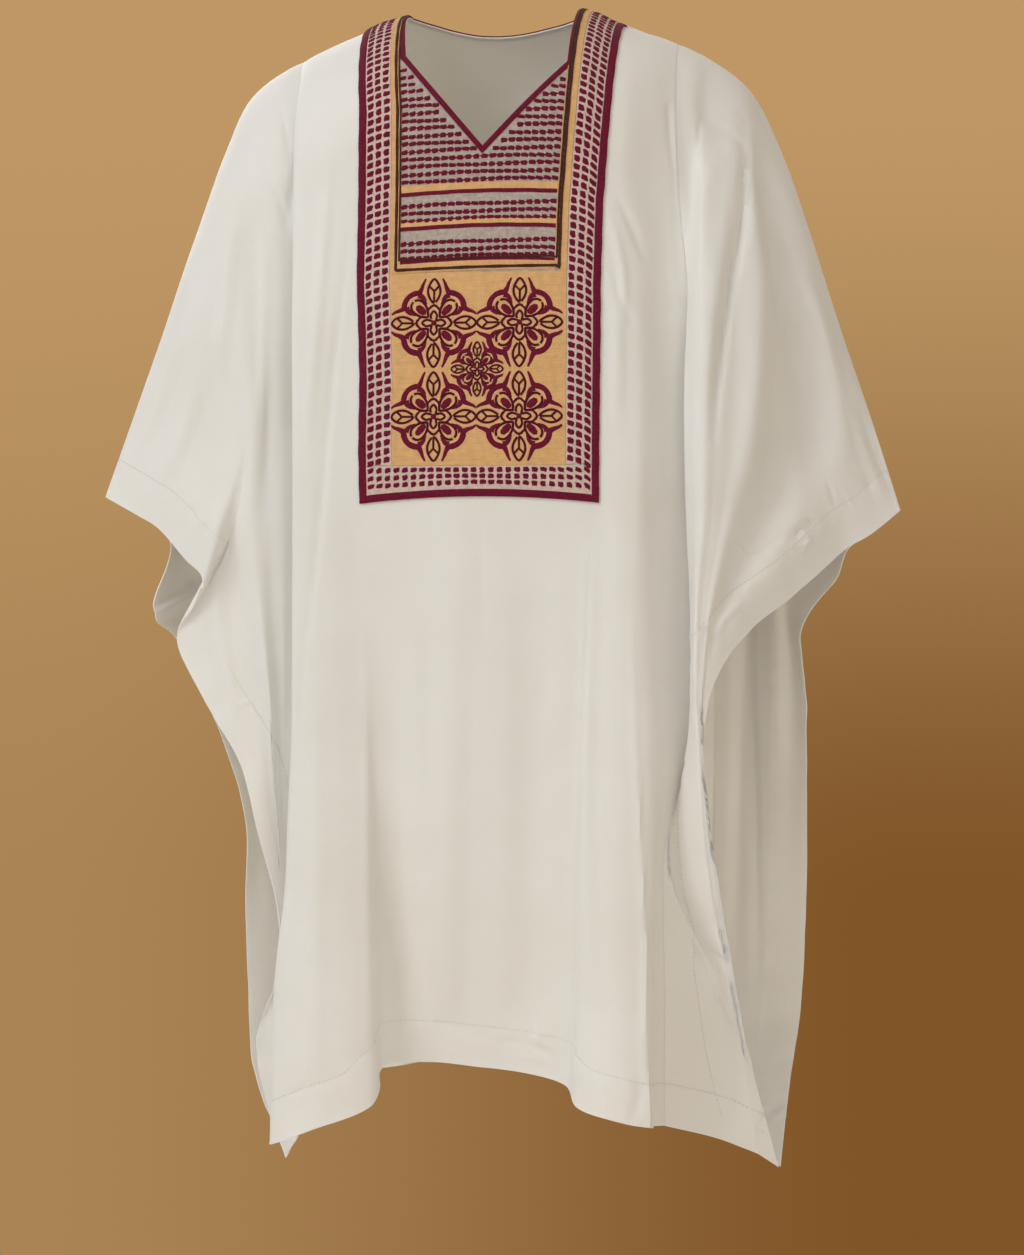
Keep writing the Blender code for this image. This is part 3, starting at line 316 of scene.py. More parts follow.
RIGHT_SLEEVE_CREASES = (
    ("shoulder crease", ((320, 97), (307, 130), (300, 157), (292, 193), (288, 220)), 8, 7, 0.5,
     (-1.5, -4.0, -2.0)),
    ("outer crease", ((280, 107), (284, 128), (290, 153)), 6, 6, 0.4, (0, -2.2, 0)),
    ("slant crease", ((258, 147), (267, 180), (280, 203), (288, 230)), 9, 7, 0.4, (0, -3.4, -1.5)),
    ("fold line", ((296, 197), (298, 300), (300, 420)), 26, 5, 0.2, (-1.0, -4.0, -3.0)),
    ("soft crest a", ((228, 225), (226, 300), (216, 380)), 14, 14, 0.0, (0, 3.2, 0)),
    ("soft crest b", ((264, 225), (264, 300), (262, 400), (256, 520)), 10, 10, 0.1, (0, 3.0, 0)),
    ("valley", ((304, 330), (304, 510), (303, 620), (302, 730), (299, 860)), 44, 7, 0.0,
     (-2.0, -13.0, -4.0)),
    ("outer swell", ((205, 360), (180, 440), (150, 500)), 16, 16, 0.0, (0, 3.0, 0)),
    ("outer trough", ((190, 330), (165, 410), (140, 470)), 12, 12, 0.0, (0, -2.6, 0)),
    ("cuff pucker a", ((142, 478), (152, 484), (164, 489)), 4, 4, 0.5, (0, -2.0, 0)),
    ("cuff pucker b", ((182, 503), (190, 509), (199, 514)), 4, 4, 0.5, (0, -2.2, 0)),
    ("notch fill", ((236, 490), (226, 545), (214, 590), (200, 630)), 26, 26, 0.0, (0, 6.0, 2.0)),
    ("edge wrinkle a", ((230, 678), (236, 684), (242, 691)), 4, 4, 0.5, (0, -1.8, 0)),
    ("edge wrinkle b", ((236, 708), (245, 703), (254, 699)), 4, 4, 0.5, (0, 1.8, 0)),
    ("lit band", ((215, 560), (222, 640), (240, 720)), 12, 12, 0.0, (0, 3.0, 0)),
)
# Creases of the side that the photograph hides, as x and depth below the neck, in metres
BACK_CREASES = (
    ("back pull right", ((-0.15, 0.09), (-0.142, 0.25), (-0.13, 0.46)), 10, 12, 0.4, (-1.0, -3.5, 0)),
    ("back pull left", ((0.148, 0.08), (0.139, 0.22), (0.131, 0.4)), 12, 9, 0.4, (-1.0, -3.2, 0)),
    ("back crest right", ((-0.108, 0.2), (-0.104, 0.52), (-0.097, 0.98)), 13, 15, 0.2, (0, 3.0, 1.0)),
    ("back hollow right", ((-0.045, 0.28), (-0.038, 0.6), (-0.03, 1.02)), 16, 14, 0.1, (0, -3.0, -1.0)),
    ("back crest middle", ((0.018, 0.36), (0.026, 0.7), (0.034, 1.06)), 11, 14, 0.3, (0, 2.6, 1.0)),
    ("back hollow left", ((0.086, 0.22), (0.094, 0.56), (0.1, 0.9)), 15, 12, 0.2, (0, -2.8, 0)),
    ("back crest left", ((0.15, 0.34), (0.155, 0.66), (0.16, 1.04)), 12, 12, 0.2, (0, 2.6, 1.0)),
    ("back hem pucker a", ((-0.086, 1.075), (-0.078, 1.086), (-0.074, 1.098)), 5, 5, 0.5, (0, -1.6, 0)),
    ("back hem pucker b", ((0.044, 1.07), (0.054, 1.084), (0.058, 1.096)), 5, 5, 0.5, (0, 1.6, 0)),
)
RIGHT_SLEEVE_BACK_CREASES = (
    ("back shoulder crease", ((-0.228, 0.09), (-0.236, 0.2), (-0.24, 0.36)), 9, 9, 0.5, (-1.0, -4.0, 0)),
    ("back arm trough", ((-0.272, 0.16), (-0.3, 0.32), (-0.318, 0.47)), 16, 16, 0.1, (0, -5.0, 0)),
    ("back arm crest", ((-0.25, 0.2), (-0.268, 0.4), (-0.276, 0.62)), 12, 12, 0.2, (0, 4.0, 0)),
    ("back cuff pucker", ((-0.352, 0.5), (-0.344, 0.51), (-0.336, 0.515)), 5, 5, 0.5, (0, -2.0, 0)),
    ("back lower crest", ((-0.244, 0.62), (-0.24, 0.84), (-0.236, 1.06)), 10, 12, 0.2, (0, 3.0, 0)),
    ("flap crease", ((-0.368, 0.636), (-0.335, 0.612), (-0.296, 0.585)), 14, 9, 0.6, (-4.0, -9.0, -4.0)),
)
LEFT_SLEEVE_BACK_CREASES = (
    ("back shoulder crease", ((0.232, 0.09), (0.24, 0.22), (0.246, 0.4)), 9, 9, 0.5, (-1.0, -4.4, 0)),
    ("back arm trough", ((0.284, 0.17), (0.318, 0.34), (0.338, 0.49)), 16, 16, 0.1, (0, -5.5, 0)),
    ("back arm crest", ((0.258, 0.2), (0.28, 0.42), (0.29, 0.6)), 12, 13, 0.2, (0, 4.2, 0)),
    ("back cuff pucker", ((0.372, 0.5), (0.364, 0.515), (0.354, 0.522)), 5, 5, 0.5, (0, -2.0, 0)),
    ("back lower crest", ((0.262, 0.62), (0.268, 0.84), (0.272, 1.06)), 12, 10, 0.2, (0, 3.0, 0)),
)

# A turned hem: how softly its step rises, then the groove at its stitches, the puckers
# across it, the roll of its edge and the edge's slow wave, with heights, widths and pitches
HEM_SOFT = 0.003
HEM_ROWS = 60
GROOVE_SHARE = 0.9
GROOVE_WIDTH = 0.0028
PUCKER_HEIGHT = 0.0015
PUCKER_PITCH = 0.021
PUCKER_WIDTH = 0.010
ROLL_HEIGHT = 0.0004
ROLL_WIDTH = 0.003
WAVE_HEIGHT = 0.0014
WAVE_PITCH = 0.055
WAVE_WIDTH = 0.028

# Half the thickness of a hem's stitch and its height off the cloth
STITCH_HALF = 0.00035
STITCH_LIFT = 0.0001

# Slight swells of the cloth in a metre, across and down
SWELLS_ACROSS = 17
SWELLS_DOWN = 7

# Cells of the cloth over which its relief falls to nothing, at a body's sides, at a sleeve's
# ridge and at a sleeve's seam
BODY_FADE = 6
RIDGE_FADE = 8
SEAM_FADE = 3
OUTWARD = {"front": (0, -1, 0), "back": (0, 1, 0)}

# Chest panel: the x of its sides at each height, and how far its bottom edge bows up
PANEL_HEIGHTS = (0.02, -0.067, -0.127, -0.218, -0.300, -0.350, -0.400, -0.470, -0.5235)
PANEL_RIGHT_X = (-0.1330, -0.1247, -0.1190, -0.1194, -0.1196, -0.1170, -0.1154, -0.1162, -0.1149)
PANEL_LEFT_X = (0.1410, 0.1374, 0.1342, 0.1276, 0.1258, 0.1262, 0.1260, 0.1256, 0.1256)
BOTTOM_BOW = 0.0072

# Binding round the panel and the neck, and the borders inside it
BINDING_WIDTH = 0.0070
BINDING_PROUD = 0.0006
BINDING_HEIGHT = 0.0010
BINDING_BULGE = 0.0006
BACK_BINDING_BULGE = 0.0009
NECK_BINDING_WIDTH = 0.0055
BORDER_WIDTH = 0.0260
BOTTOM_BORDER_HEIGHT = 0.0308
FIELD_BOTTOM = PANEL_HEIGHTS[-1] + BINDING_WIDTH + BOTTOM_BORDER_HEIGHT
INNER = BINDING_WIDTH + BORDER_WIDTH

# Frame braid of the upper field: its places, its widths and its two lines
BRAID_INSET_RIGHT = 0.0020
BRAID_INSET_LEFT = 0.0060
BRAID_WIDTH_RIGHT = 0.0088
BRAID_WIDTH_LEFT = 0.0066
BRAID_BOTTOM_WIDTH = 0.0050
BRAID_HEIGHT = 0.0008
FRAME_BOTTOM = -0.2914
FRAME_LINES = ((0.0045, 0.0020, -0.2880, 0.0032), (0.0078, 0.0046, -0.2783, 0.0021))
FRAME_LINE_STEP = 0.0022

# Bands across the upper field: name, height and width, and how far they fall to one side
CROSS_BANDS = (("top", -0.2088, 0.0044), ("middle", -0.2440, 0.0044), ("lower", -0.2783, 0.0034))
TAN_BANDS = (("top", -0.2034, 0.0070), ("middle", -0.2396, 0.0048), ("lower", -0.2845, 0.0098))
BAND_FALL = 0.0034

# Squares of the borders: the first one's distance from the binding, the columns of a side
# border, and the first row and the rows of the bottom one
SQUARE_INSET = 0.0046
SQUARE_COLUMN = 0.0084
SQUARE_FIRST_ROW = 0.0052
SQUARE_ROW = 0.0086
SQUARE_HEIGHT = 0.0007

# Rows of dashes: the lowest of the upper rows, their spacing and number, and the low rows
DASH_ROWS_TOP = -0.1962
DASH_PITCH = 0.0077
DASH_ROWS = 16
DASH_ROWS_LOW = (-0.2206, -0.2285, -0.2356, -0.2590, -0.2668, -0.2736)
DASH_SPACING = 0.0079
DASH_INSET = 0.0034
DASH_LINE_WIDTH = 0.0016
DASH_LINE_HEIGHT = 0.00035

# Raised threads of the rosettes, and their outline points' unit: the reach is this many
ROSETTE_UNIT = 45.0
BOLD_HEIGHT = 0.0010
PALE_HEIGHT = 0.0005

# The cloth as a table of its points by x and length, for the pieces that lie on it
LAY_STEP = 0.0015
LAY_REACH = 0.160
LAY_LENGTH = 0.62
PANEL_LIFT = 0.0005
PANEL_WALL = 0.0011
PANEL_TOP = PANEL_LIFT + PANEL_WALL
PANEL_OUTWARD = (0, -1, 0.15)
PIECE_GAP = 0.0003
SUNK = 0.0001
THREAD_ACROSS = (-0.5, -0.38, 0.0, 0.38, 0.5, -0.5)
THREAD_UP = (0.0, 0.72, 1.0, 0.72, 0.0, 0.0)
THREAD_SHARP = math.radians(70)


class AgbadaCloth(bpy.types.PropertyGroup):
    colour: FloatVectorProperty(
        name="Cloth colour", description="Colour of the smooth white cloth", subtype="COLOR",
        size=3, min=0.0, max=1.0, default=(0.84, 0.828, 0.800))
    wall: FloatProperty(
        name="Cloth thickness", description="Thickness of the hanging cloth", unit="LENGTH",
        default=0.0014, min=0.0005, max=0.003)
    hem: FloatProperty(
        name="Hem width", description="Width of the turned hems", unit="LENGTH",
        default=0.042, min=0.01, max=0.08)
    hem_step: FloatProperty(
        name="Hem step", description="How far a turned hem stands out from the single cloth",
        unit="LENGTH", default=0.0007, min=0.0, max=0.003)
    stitch: FloatProperty(
        name="Stitch length", description="Length of one stitch on a hem", unit="LENGTH",
        default=0.0034, min=0.001, max=0.01)
    stitch_gap: FloatProperty(
        name="Stitch spacing", description="Distance from one stitch to the next", unit="LENGTH",
        default=0.0046, min=0.001, max=0.02)
    unevenness: FloatProperty(
        name="Unevenness", description="Height of the slight natural swells of the cloth",
        unit="LENGTH", default=0.0011, min=0.0, max=0.01)


class AgbadaPanel(bpy.types.PropertyGroup):
    burgundy: FloatVectorProperty(
        name="Burgundy thread", description="Colour of the dark red embroidery", subtype="COLOR",
        size=3, min=0.0, max=1.0, default=(0.205, 0.008, 0.040))
    tan: FloatVectorProperty(
        name="Tan ground", description="Colour of the woven tan ground", subtype="COLOR",
        size=3, min=0.0, max=1.0, default=(0.88, 0.525, 0.235))
    grey: FloatVectorProperty(
        name="Grey-white ground", description="Colour of the upper field", subtype="COLOR",
        size=3, min=0.0, max=1.0, default=(0.58, 0.55, 0.49))
    net: FloatVectorProperty(
        name="Border net", description="Colour of the net between the border's squares",
        subtype="COLOR", size=3, min=0.0, max=1.0, default=(0.86, 0.66, 0.60))
    peach: FloatVectorProperty(
        name="Peach outline", description="Colour of the pale line beside the dark ones",
        subtype="COLOR", size=3, min=0.0, max=1.0, default=(0.86, 0.49, 0.28))
    brown: FloatVectorProperty(
        name="Brown braid", description="Colour of the dark braid lines", subtype="COLOR",
        size=3, min=0.0, max=1.0, default=(0.085, 0.026, 0.020))
    pitch: FloatProperty(
        name="Border pitch", description="Distance between the border's squares",
        unit="LENGTH", default=0.0087, min=0.004, max=0.02)
    square: FloatProperty(
        name="Border square", description="Width of one of the border's squares",
        unit="LENGTH", default=0.0064, min=0.002, max=0.01)
    rosette: FloatProperty(
        name="Rosette reach", description="From a rosette's centre to its leaf tips",
        unit="LENGTH", default=0.0453, min=0.01, max=0.08)


class AgbadaStage(bpy.types.PropertyGroup):
    floor: FloatProperty(
        name="Floor height", description="Height of the floor below the neck", unit="LENGTH",
        default=-1.62, min=-3.0, max=-1.25)
    floor_radius: FloatProperty(
        name="Floor radius", description="Radius of the round floor", unit="LENGTH",
        default=1.15, min=0.5, max=4.0)
    backdrop: FloatVectorProperty(
        name="Backdrop", description="Colour of the plain backdrop on the lit side",
        subtype="COLOR", size=3, min=0.0, max=1.0, default=(0.515, 0.310, 0.130))
    backdrop_shade: FloatVectorProperty(
        name="Backdrop in shade", description="Colour of the plain backdrop away from the light",
        subtype="COLOR", size=3, min=0.0, max=1.0, default=(0.215, 0.092, 0.021))
    key: FloatProperty(
        name="Key light", description="Power of the soft key light", unit="POWER",
        default=55.0, min=0.0, max=1000.0)
    fill: FloatProperty(
        name="Fill light", description="Power of the soft fill light", unit="POWER",
        default=20.0, min=0.0, max=1000.0)
    ambient: FloatProperty(
        name="Ambient", description="Strength of the soft light from all round", default=0.55,
        min=0.0, max=3.0)


def smooth_values(keys, values, places):
    """Values at the places on a curve through the rows that never overshoots them."""
    keys = np.asarray(keys, float)
    values = np.asarray(values, float)
    if keys[0] > keys[-1]:
        keys = keys[::-1]
        values = values[::-1]
    slopes = np.diff(values) / np.diff(keys)
    turns = slopes[:-1] * slopes[1:] <= 0
    total = np.where(turns, 1.0, slopes[:-1] + slopes[1:])
    inner = np.where(turns, 0.0, 2 * slopes[:-1] * slopes[1:] / total)
    tangents = np.concatenate([slopes[:1], inner, slopes[-1:]])
    places = np.clip(places, keys[0], keys[-1])
    i = np.clip(np.searchsorted(keys, places, side="right") - 1, 0, len(keys) - 2)
    step = np.diff(keys)[i]
    t = (places - keys[i]) / step
    return (
        (2 * t**3 - 3 * t**2 + 1) * values[i]
        + (t**3 - 2 * t**2 + t) * step * tangents[i]
        + (3 * t**2 - 2 * t**3) * values[i + 1]
        + (t**3 - t**2) * step * tangents[i + 1]
    )


def splines(knots, cells):
    """Catmull-Rom curve through each row of knots, with this many cells in each span."""
    first = 2 * knots[:, :1] - knots[:, 1:2]
    last = 2 * knots[:, -1:] - knots[:, -2:-1]
    ends = np.concatenate([first, knots, last], axis=1)
    gaps = np.maximum(np.linalg.norm(np.diff(ends, axis=1), axis=2), 1e-6) ** 0.5
    times = np.concatenate([np.zeros((len(ends), 1)), np.cumsum(gaps, axis=1)], axis=1)
    columns = [knots[:, 0]]
    for span, count in enumerate(cells):
        p = [ends[:, span + n] for n in range(4)]
        k = [times[:, span + n, None] for n in range(4)]
        for step in range(1, count + 1):
            t = k[1] + (k[2] - k[1]) * step / count
            a = [(p[i] * (k[i + 1] - t) + p[i + 1] * (t - k[i])) / (k[i + 1] - k[i]) for i in range(3)]
            b = [(a[i] * (k[i + 2] - t) + a[i + 1] * (t - k[i])) / (k[i + 2] - k[i]) for i in range(2)]
            columns.append((b[0] * (k[2] - t) + b[1] * (t - k[1])) / (k[2] - k[1]))
    return np.stack(columns, axis=1)


def lengths_along(points):
    return np.concatenate([[0.0], np.cumsum(np.linalg.norm(np.diff(points, axis=0), axis=1))])


def at_shares(points, shares):
    """Points at these shares of a dense line's length."""
    lengths = lengths_along(points)
    places = np.clip(shares, 0, 1) * lengths[-1]
    return np.stack([np.interp(places, lengths, points[:, n]) for n in range(points.shape[1])], axis=1)


def resampled(points, step):
    """The line again with points about one step apart."""
    points = np.asarray(points, float)
    count = max(2, int(round(lengths_along(points)[-1] / step)) + 1)
    return at_shares(points, np.linspace(0, 1, count))


def fine(points, cells=24):
    points = np.asarray(points, float)
    return splines(points[None], [cells] * (len(points) - 1))[0]


RIDGES = {"right": fine(RIGHT_RIDGE), "left": fine(LEFT_RIDGE)}


def on_ridge(ridge, x):
    order = np.argsort(ridge[:, 0])
    return np.array([np.interp(x, ridge[order, 0], ridge[order, n]) for n in range(3)])


def ridge_point(x):
    """Top of the garment at x: the shoulder ridges, joined straight across the neck."""
    if x <= NECK_RIGHT[0]:
        return on_ridge(RIDGES["right"], x)
    if x >= NECK_LEFT[0]:
        return on_ridge(RIDGES["left"], x)
    start = np.array(RIGHT_RIDGE[0])
    end = np.array(LEFT_RIDGE[0])
    return start + (end - start) * (x - start[0]) / (end[0] - start[0])


def guide(top, heights, xs, ys):
    """One guide from its top over the rounded shoulder and down through its sections."""
    share = np.linspace(0, 1, GUIDE_STEPS + 1)
    z = top[2] + (heights[-1] - top[2]) * share**GUIDE_POWER
    drop = np.minimum((top[2] - z) / SHOULDER_ROUND, 1.0)
    over = np.sqrt(1 - (1 - drop) ** 2)
    x = smooth_values((top[2], *heights), (top[0], *xs), z)
    y = smooth_values(heights, ys, z)
    return np.stack([x, top[1] + (y - top[1]) * over, z], axis=1)


def row_guide(row):
    """The guide that one row of a guide table describes."""
    _, shoulder_x, xs, ys, hem = row
    top = ridge_point(shoulder_x)
    return guide(top, (*BODY_HEIGHTS, hem[0]), (*xs, hem[1]), (*ys, hem[2]))


def down_shares():
    return (np.arange(ROWS + 1) / ROWS) ** DOWN_POWER


def body_rows(table, cells):
    knots = np.stack([at_shares(row_guide(row), down_shares()) for row in table], axis=1)
    return splines(knots, cells)


def between(inner, outer, ridge, hem, share, shares):
    """Points between the inner and outer guides, from the ridge down to the hem."""
    order = np.argsort(ridge[:, 0])
    start = np.interp(inner[0, 0], ridge[order, 0], lengths_along(ridge)[order] / lengths_along(ridge)[-1])
    top_in = at_shares(inner, [0.0])[0]
    top_out = outer(np.array([0.0]))[0]
    end_in = at_shares(inner, [1.0])[0]
    end_out = outer(np.array([1.0]))[0]
    ridge_bow = at_shares(ridge, [start + (1 - start) * share])[0] - (top_in + (top_out - top_in) * share)
    hem_bow = at_shares(hem, [share])[0] - (end_in + (end_out - end_in) * share)
    near = at_shares(inner, shares)
    straight = near + (outer(shares) - near) * share
    down = shares[:, None]
    return straight + ridge_bow * (1 - down) ** 2 + hem_bow * down**2


def fold_depths(folds, across, down):
    """Sum of the soft folds at a share across, for all shares down."""
    total = np.zeros_like(down)
    for row in folds:
        fold = dict(zip(SLEEVE_FOLD_COLUMNS, row))
        along = (down - fold["from_down"]) / (fold["to_down"] - fold["from_down"])
        middle = fold["from_across"] + (fold["to_across"] - fold["from_across"]) * along
        offset = (across - middle) / fold["half"]
        swell = np.cos(np.clip(offset, -1, 1) * np.pi / 2) ** 2 * np.sin(np.pi * np.clip(along, 0, 1))
        total += fold["depth"] * swell
    return total


def sleeve_side(near_guides, edge, side, cells, folds, facing):
    """Rows of a sleeve's front or back; facing is -1 in front and 1 behind."""
    shares = down_shares()
    edge_line = fine(edge)
    inner = near_guides[-1]
    hem = np.array([at_shares(inner, [1.0])[0], edge[-1]])

    def outer(at):
        return at_shares(edge_line, at**EDGE_POWER)

    knots = [at_shares(g, shares) for g in near_guides]
    for across in SLEEVE_SHARES:
        middle = between(inner, outer, RIDGES[side], hem, across, shares)
        middle[:, 1] += facing * fold_depths(folds, across, shares)
        knots.append(middle)
    knots.append(outer(shares))
    return splines(np.stack(knots, axis=1), cells)


def back_crest():
    """Guide just inside the left sleeve's back, where its own inner fold stands."""
    tuck = row_guide(LEFT_TUCK_BACK)
    edge_line = fine(LEFT_EDGE_BACK)
    shares = np.linspace(0, 1, GUIDE_STEPS + 1)
    hem = np.array([at_shares(tuck, [1.0])[0], LEFT_EDGE_BACK[-1]])
    return between(tuck, lambda at: at_shares(edge_line, at), RIDGES["left"], hem, BACK_CREST_SHARE, shares)


def crest_guide():
    heights, xs, ys = zip(*LEFT_CREST)
    return guide(ridge_point(LEFT_CREST_SHOULDER), heights, xs, ys)


@functools.cache
def sleeve_halves(side):
    """Front and back rows of one sleeve, each from the ridge down."""
    seam = 0 if side == "right" else -1
    near_front = [row_guide(FRONT_GUIDES[seam])]
    near_back = [row_guide(BACK_GUIDES[seam])]
    if side == "right":
        near_front.append(row_guide(RIGHT_TUCK_FRONT))
        near_back.append(row_guide(RIGHT_TUCK_BACK))
        edges = (RIGHT_EDGE_FRONT, RIGHT_EDGE_BACK)
        cells, folds = SLEEVE_CELLS_RIGHT, RIGHT_FOLDS_FRONT
    else:
        near_front += [row_guide(LEFT_TUCK_FRONT), crest_guide()]
        near_back += [row_guide(LEFT_TUCK_BACK), back_crest()]
        edges = (LEFT_EDGE_FRONT, LEFT_EDGE_BACK)
        cells, folds = SLEEVE_CELLS_LEFT, LEFT_FOLDS_FRONT
    front = sleeve_side(near_front, edges[0], side, cells, folds, -1)
    back = sleeve_side(near_back, edges[1], side, cells, FOLDS_BACK, 1)
    return front, back


def normals_of(rows, outward):
    """Unit normals of a grid of points, turned so that the middle one faces outward."""
    down = np.gradient(rows, axis=0)
    across = np.gradient(rows, axis=1)
    normals = np.cross(down, across)
    normals /= np.maximum(np.linalg.norm(normals, axis=2, keepdims=True), 1e-12)
    middle = normals[rows.shape[0] // 2, rows.shape[1] // 2]
    return normals if middle @ np.array(outward) > 0 else -normals


def seen_places(rows):
    """Where the camera sees the points, in metres across and down the photograph's frame."""
    across = rows[..., 0] * math.cos(CAMERA_TURN) + rows[..., 1] * math.sin(CAMERA_TURN)
    depth = CAMERA_DISTANCE - (rows[..., 0] * math.sin(CAMERA_TURN) - rows[..., 1] * math.cos(CAMERA_TURN))
    u = AXIS_PX + FOCAL_PX * across / depth
    v = LEVEL_PX - FOCAL_PX * (rows[..., 2] - CAMERA_HEIGHT) / depth
    return u / PX_PER_METRE, v / PX_PER_METRE


def crease_depth(crease, u, v, scale):
    """Height that one crease adds at each place."""
    points = np.array(crease["points"], float) / scale
    best = np.full(u.shape, np.inf)
    side = np.zeros(u.shape)
    share = np.zeros(u.shape)
    lengths = lengths_along(points)
    for a, b, start in zip(points, points[1:], lengths):
        d = b - a
        size = d @ d
        along = np.clip(((u - a[0]) * d[0] + (v - a[1]) * d[1]) / size, 0, 1)
        du = u - a[0] - along * d[0]
        dv = v - a[1] - along * d[1]
        distance = np.hypot(du, dv)
        nearer = distance < best
        best = np.where(nearer, distance, best)
        side = np.where(nearer, d[1] * du - d[0] * dv, side)
        share = np.where(nearer, (start + along * math.sqrt(size)) / lengths[-1], share)
    half = np.where(side > 0, crease["right"], crease["left"]) / 1000
    x = np.clip(best / half, 0, 1)
    shape = (1 - crease["peak"]) * np.cos(x * np.pi / 2) ** 2 + crease["peak"] * (1 - x) ** 2
    first, middle, last = crease["depths"]
    bend = first * (1 - share) * (1 - 2 * share) + middle * 4 * share * (1 - share)
    return (bend + last * share * (2 * share - 1)) / 1000 * shape


def eased(t):
    """0 to 1 for a share that is held between them, with soft ends."""
    t = np.clip(t, 0, 1)
    return t * t * (3 - 2 * t)


def creased(rows, normals, table, behind=False):
    """Height of all creases of a table over the rows, where they face the right way."""
    if behind:
        u, v, scale = rows[..., 0], -rows[..., 2], 1.0
        facing = normals[..., 1]
    else:
        u, v = seen_places(rows)
        scale = PX_PER_METRE
        facing = -normals[..., 1]
    total = np.zeros(rows.shape[:2])
    for row in table:
        total += crease_depth(dict(zip(CREASE_COLUMNS, row)), u, v, scale)
    return total * eased((facing + 0.25) / 0.6)


def waves(places, pitch, seed):
    """Uneven ripples along a line, about one pitch apart."""
    t = places / pitch * 2 * math.pi
    swell = np.sin(t + seed) + 0.6 * np.sin(t * 0.618 + seed * 2.3) + 0.4 * np.sin(t * 1.71 + seed * 5.1)
    return swell * (0.55 + 0.45 * np.sin(t * 0.137 + seed * 3.7)) / 2


def bell(distance, width):
    """1 at no distance, falling off as a bell of this width."""
    return np.exp(-((distance / width) ** 2))


def distance_to(rows, line):
    """Distance from each point to a line of points, and the place along it of the nearest one."""
    flat = rows.reshape(-1, 3)
    lengths = lengths_along(line)
    best = np.full(len(flat), np.inf)
    where = np.zeros(len(flat))
    for start in range(0, len(flat), 4000):
        part = flat[start:start + 4000]
        gaps = np.linalg.norm(part[:, None] - line[None], axis=2)
        nearest = gaps.argmin(axis=1)
        best[start:start + 4000] = gaps[np.arange(len(part)), nearest]
        where[start:start + 4000] = lengths[nearest]
    return best.reshape(rows.shape[:2]), where.reshape(rows.shape[:2])


def notch_share(z):
    """0 where the cuff's hem lies flat at the notch, 1 away from it."""
    return eased((np.abs(z - NOTCH_HEIGHT) - NOTCH_REACH) / NOTCH_BLEND)


def hem_height(rows, hems, cloth, seed):
    """Height that the turned hems add: a step, a groove at the stitches and puckers across it."""
    height = np.zeros(rows.shape[:2])
    for number, line in enumerate(hems):
        gap, place = distance_to(rows, line)
        past = gap - cloth.hem
        step = eased((cloth.hem + HEM_SOFT / 2 - gap) / HEM_SOFT) * cloth.hem_step
        groove = -GROOVE_SHARE * cloth.hem_step * bell(past, GROOVE_WIDTH)
        ripple = waves(place, PUCKER_PITCH, seed + number) * PUCKER_HEIGHT * bell(past, PUCKER_WIDTH)
        roll = ROLL_HEIGHT * bell(gap, ROLL_WIDTH)
        wave = waves(place, WAVE_PITCH, seed + number + 7.0) * WAVE_HEIGHT * bell(gap, WAVE_WIDTH)
        height = np.maximum(height, step) + groove + ripple + roll + wave
    return height


def swells(rows, cloth, seed):
    """Slight natural unevenness of hanging cloth."""
    out = np.zeros(rows.shape[:2])
    for i, j in np.ndindex(out.shape):
        x, y, z = rows[i, j]
        place = Vector((x * SWELLS_ACROSS + seed, y * SWELLS_ACROSS, z * SWELLS_DOWN))
        out[i, j] = noise.noise(place) + 0.35 * noise.noise(place * 2.7)
    return out * cloth.unevenness


def fade(shape, top=0, left=0, right=0):
    """1 inside the grid, falling to 0 over so many cells at the sides that meet another piece."""
    rows, columns = shape
    i = np.arange(rows)[:, None] * np.ones((1, columns))
    j = np.ones((rows, 1)) * np.arange(columns)[None]
    value = np.ones(shape)
    for cells, distance in ((top, i), (left, j), (right, columns - 1 - j)):
        if cells:
            value = value * eased(distance / cells)
    return value


def cloth_props():
    return bpy.context.scene.agbada_cloth


def panel_props():
    return bpy.context.scene.agbada_panel


@functools.cache
def dressed_body(side):
    """Rows of the front or the back with creases, hem and swells."""
    cloth = cloth_props()
    table, cells, creases, hem_seed, swell_seed = {
        "front": (FRONT_GUIDES, FRONT_CELLS, FRONT_CREASES, 1.0, 3.0),
        "back": (BACK_GUIDES, BACK_CELLS, BACK_CREASES, 4.0, 9.0),
    }[side]
    rows = body_rows(table, cells)
    normals = normals_of(rows, OUTWARD[side])
    height = creased(rows, normals, creases, behind=side == "back")
    height += hem_height(rows, [rows[-1]], cloth, hem_seed) + swells(rows, cloth, swell_seed)
    height *= fade(rows.shape[:2], top=BODY_FADE, left=BODY_FADE, right=BODY_FADE)
    return rows + normals * height[..., None]


@functools.cache
def dressed_sleeve(side):
    """Front and back halves of a sleeve with creases and hems, sharing the ridge row."""
    cloth = cloth_props()
    tables = {
        "right": (RIGHT_SLEEVE_CREASES, RIGHT_SLEEVE_BACK_CREASES),
        "left": (LEFT_SLEEVE_CREASES, LEFT_SLEEVE_BACK_CREASES),
    }[side]
    halves = []
    for facing, rows, table in zip(OUTWARD, sleeve_halves(side), tables):
        behind = facing == "back"
        normals = normals_of(rows, OUTWARD[facing])
        height = creased(rows, normals, table, behind)
        seed = 11.0 + (5 if behind else 0) + (0 if side == "right" else 2)
        hem = hem_height(rows, [rows[:, -1], rows[-1]], cloth, seed)
        notched = side == "right" and not behind
        height += hem * (notch_share(rows[..., 2]) if notched else 1.0)
        height += swells(rows, cloth, seed)
        height *= fade(rows.shape[:2], top=RIDGE_FADE, left=SEAM_FADE)
        halves.append(rows + normals * height[..., None])
    return halves


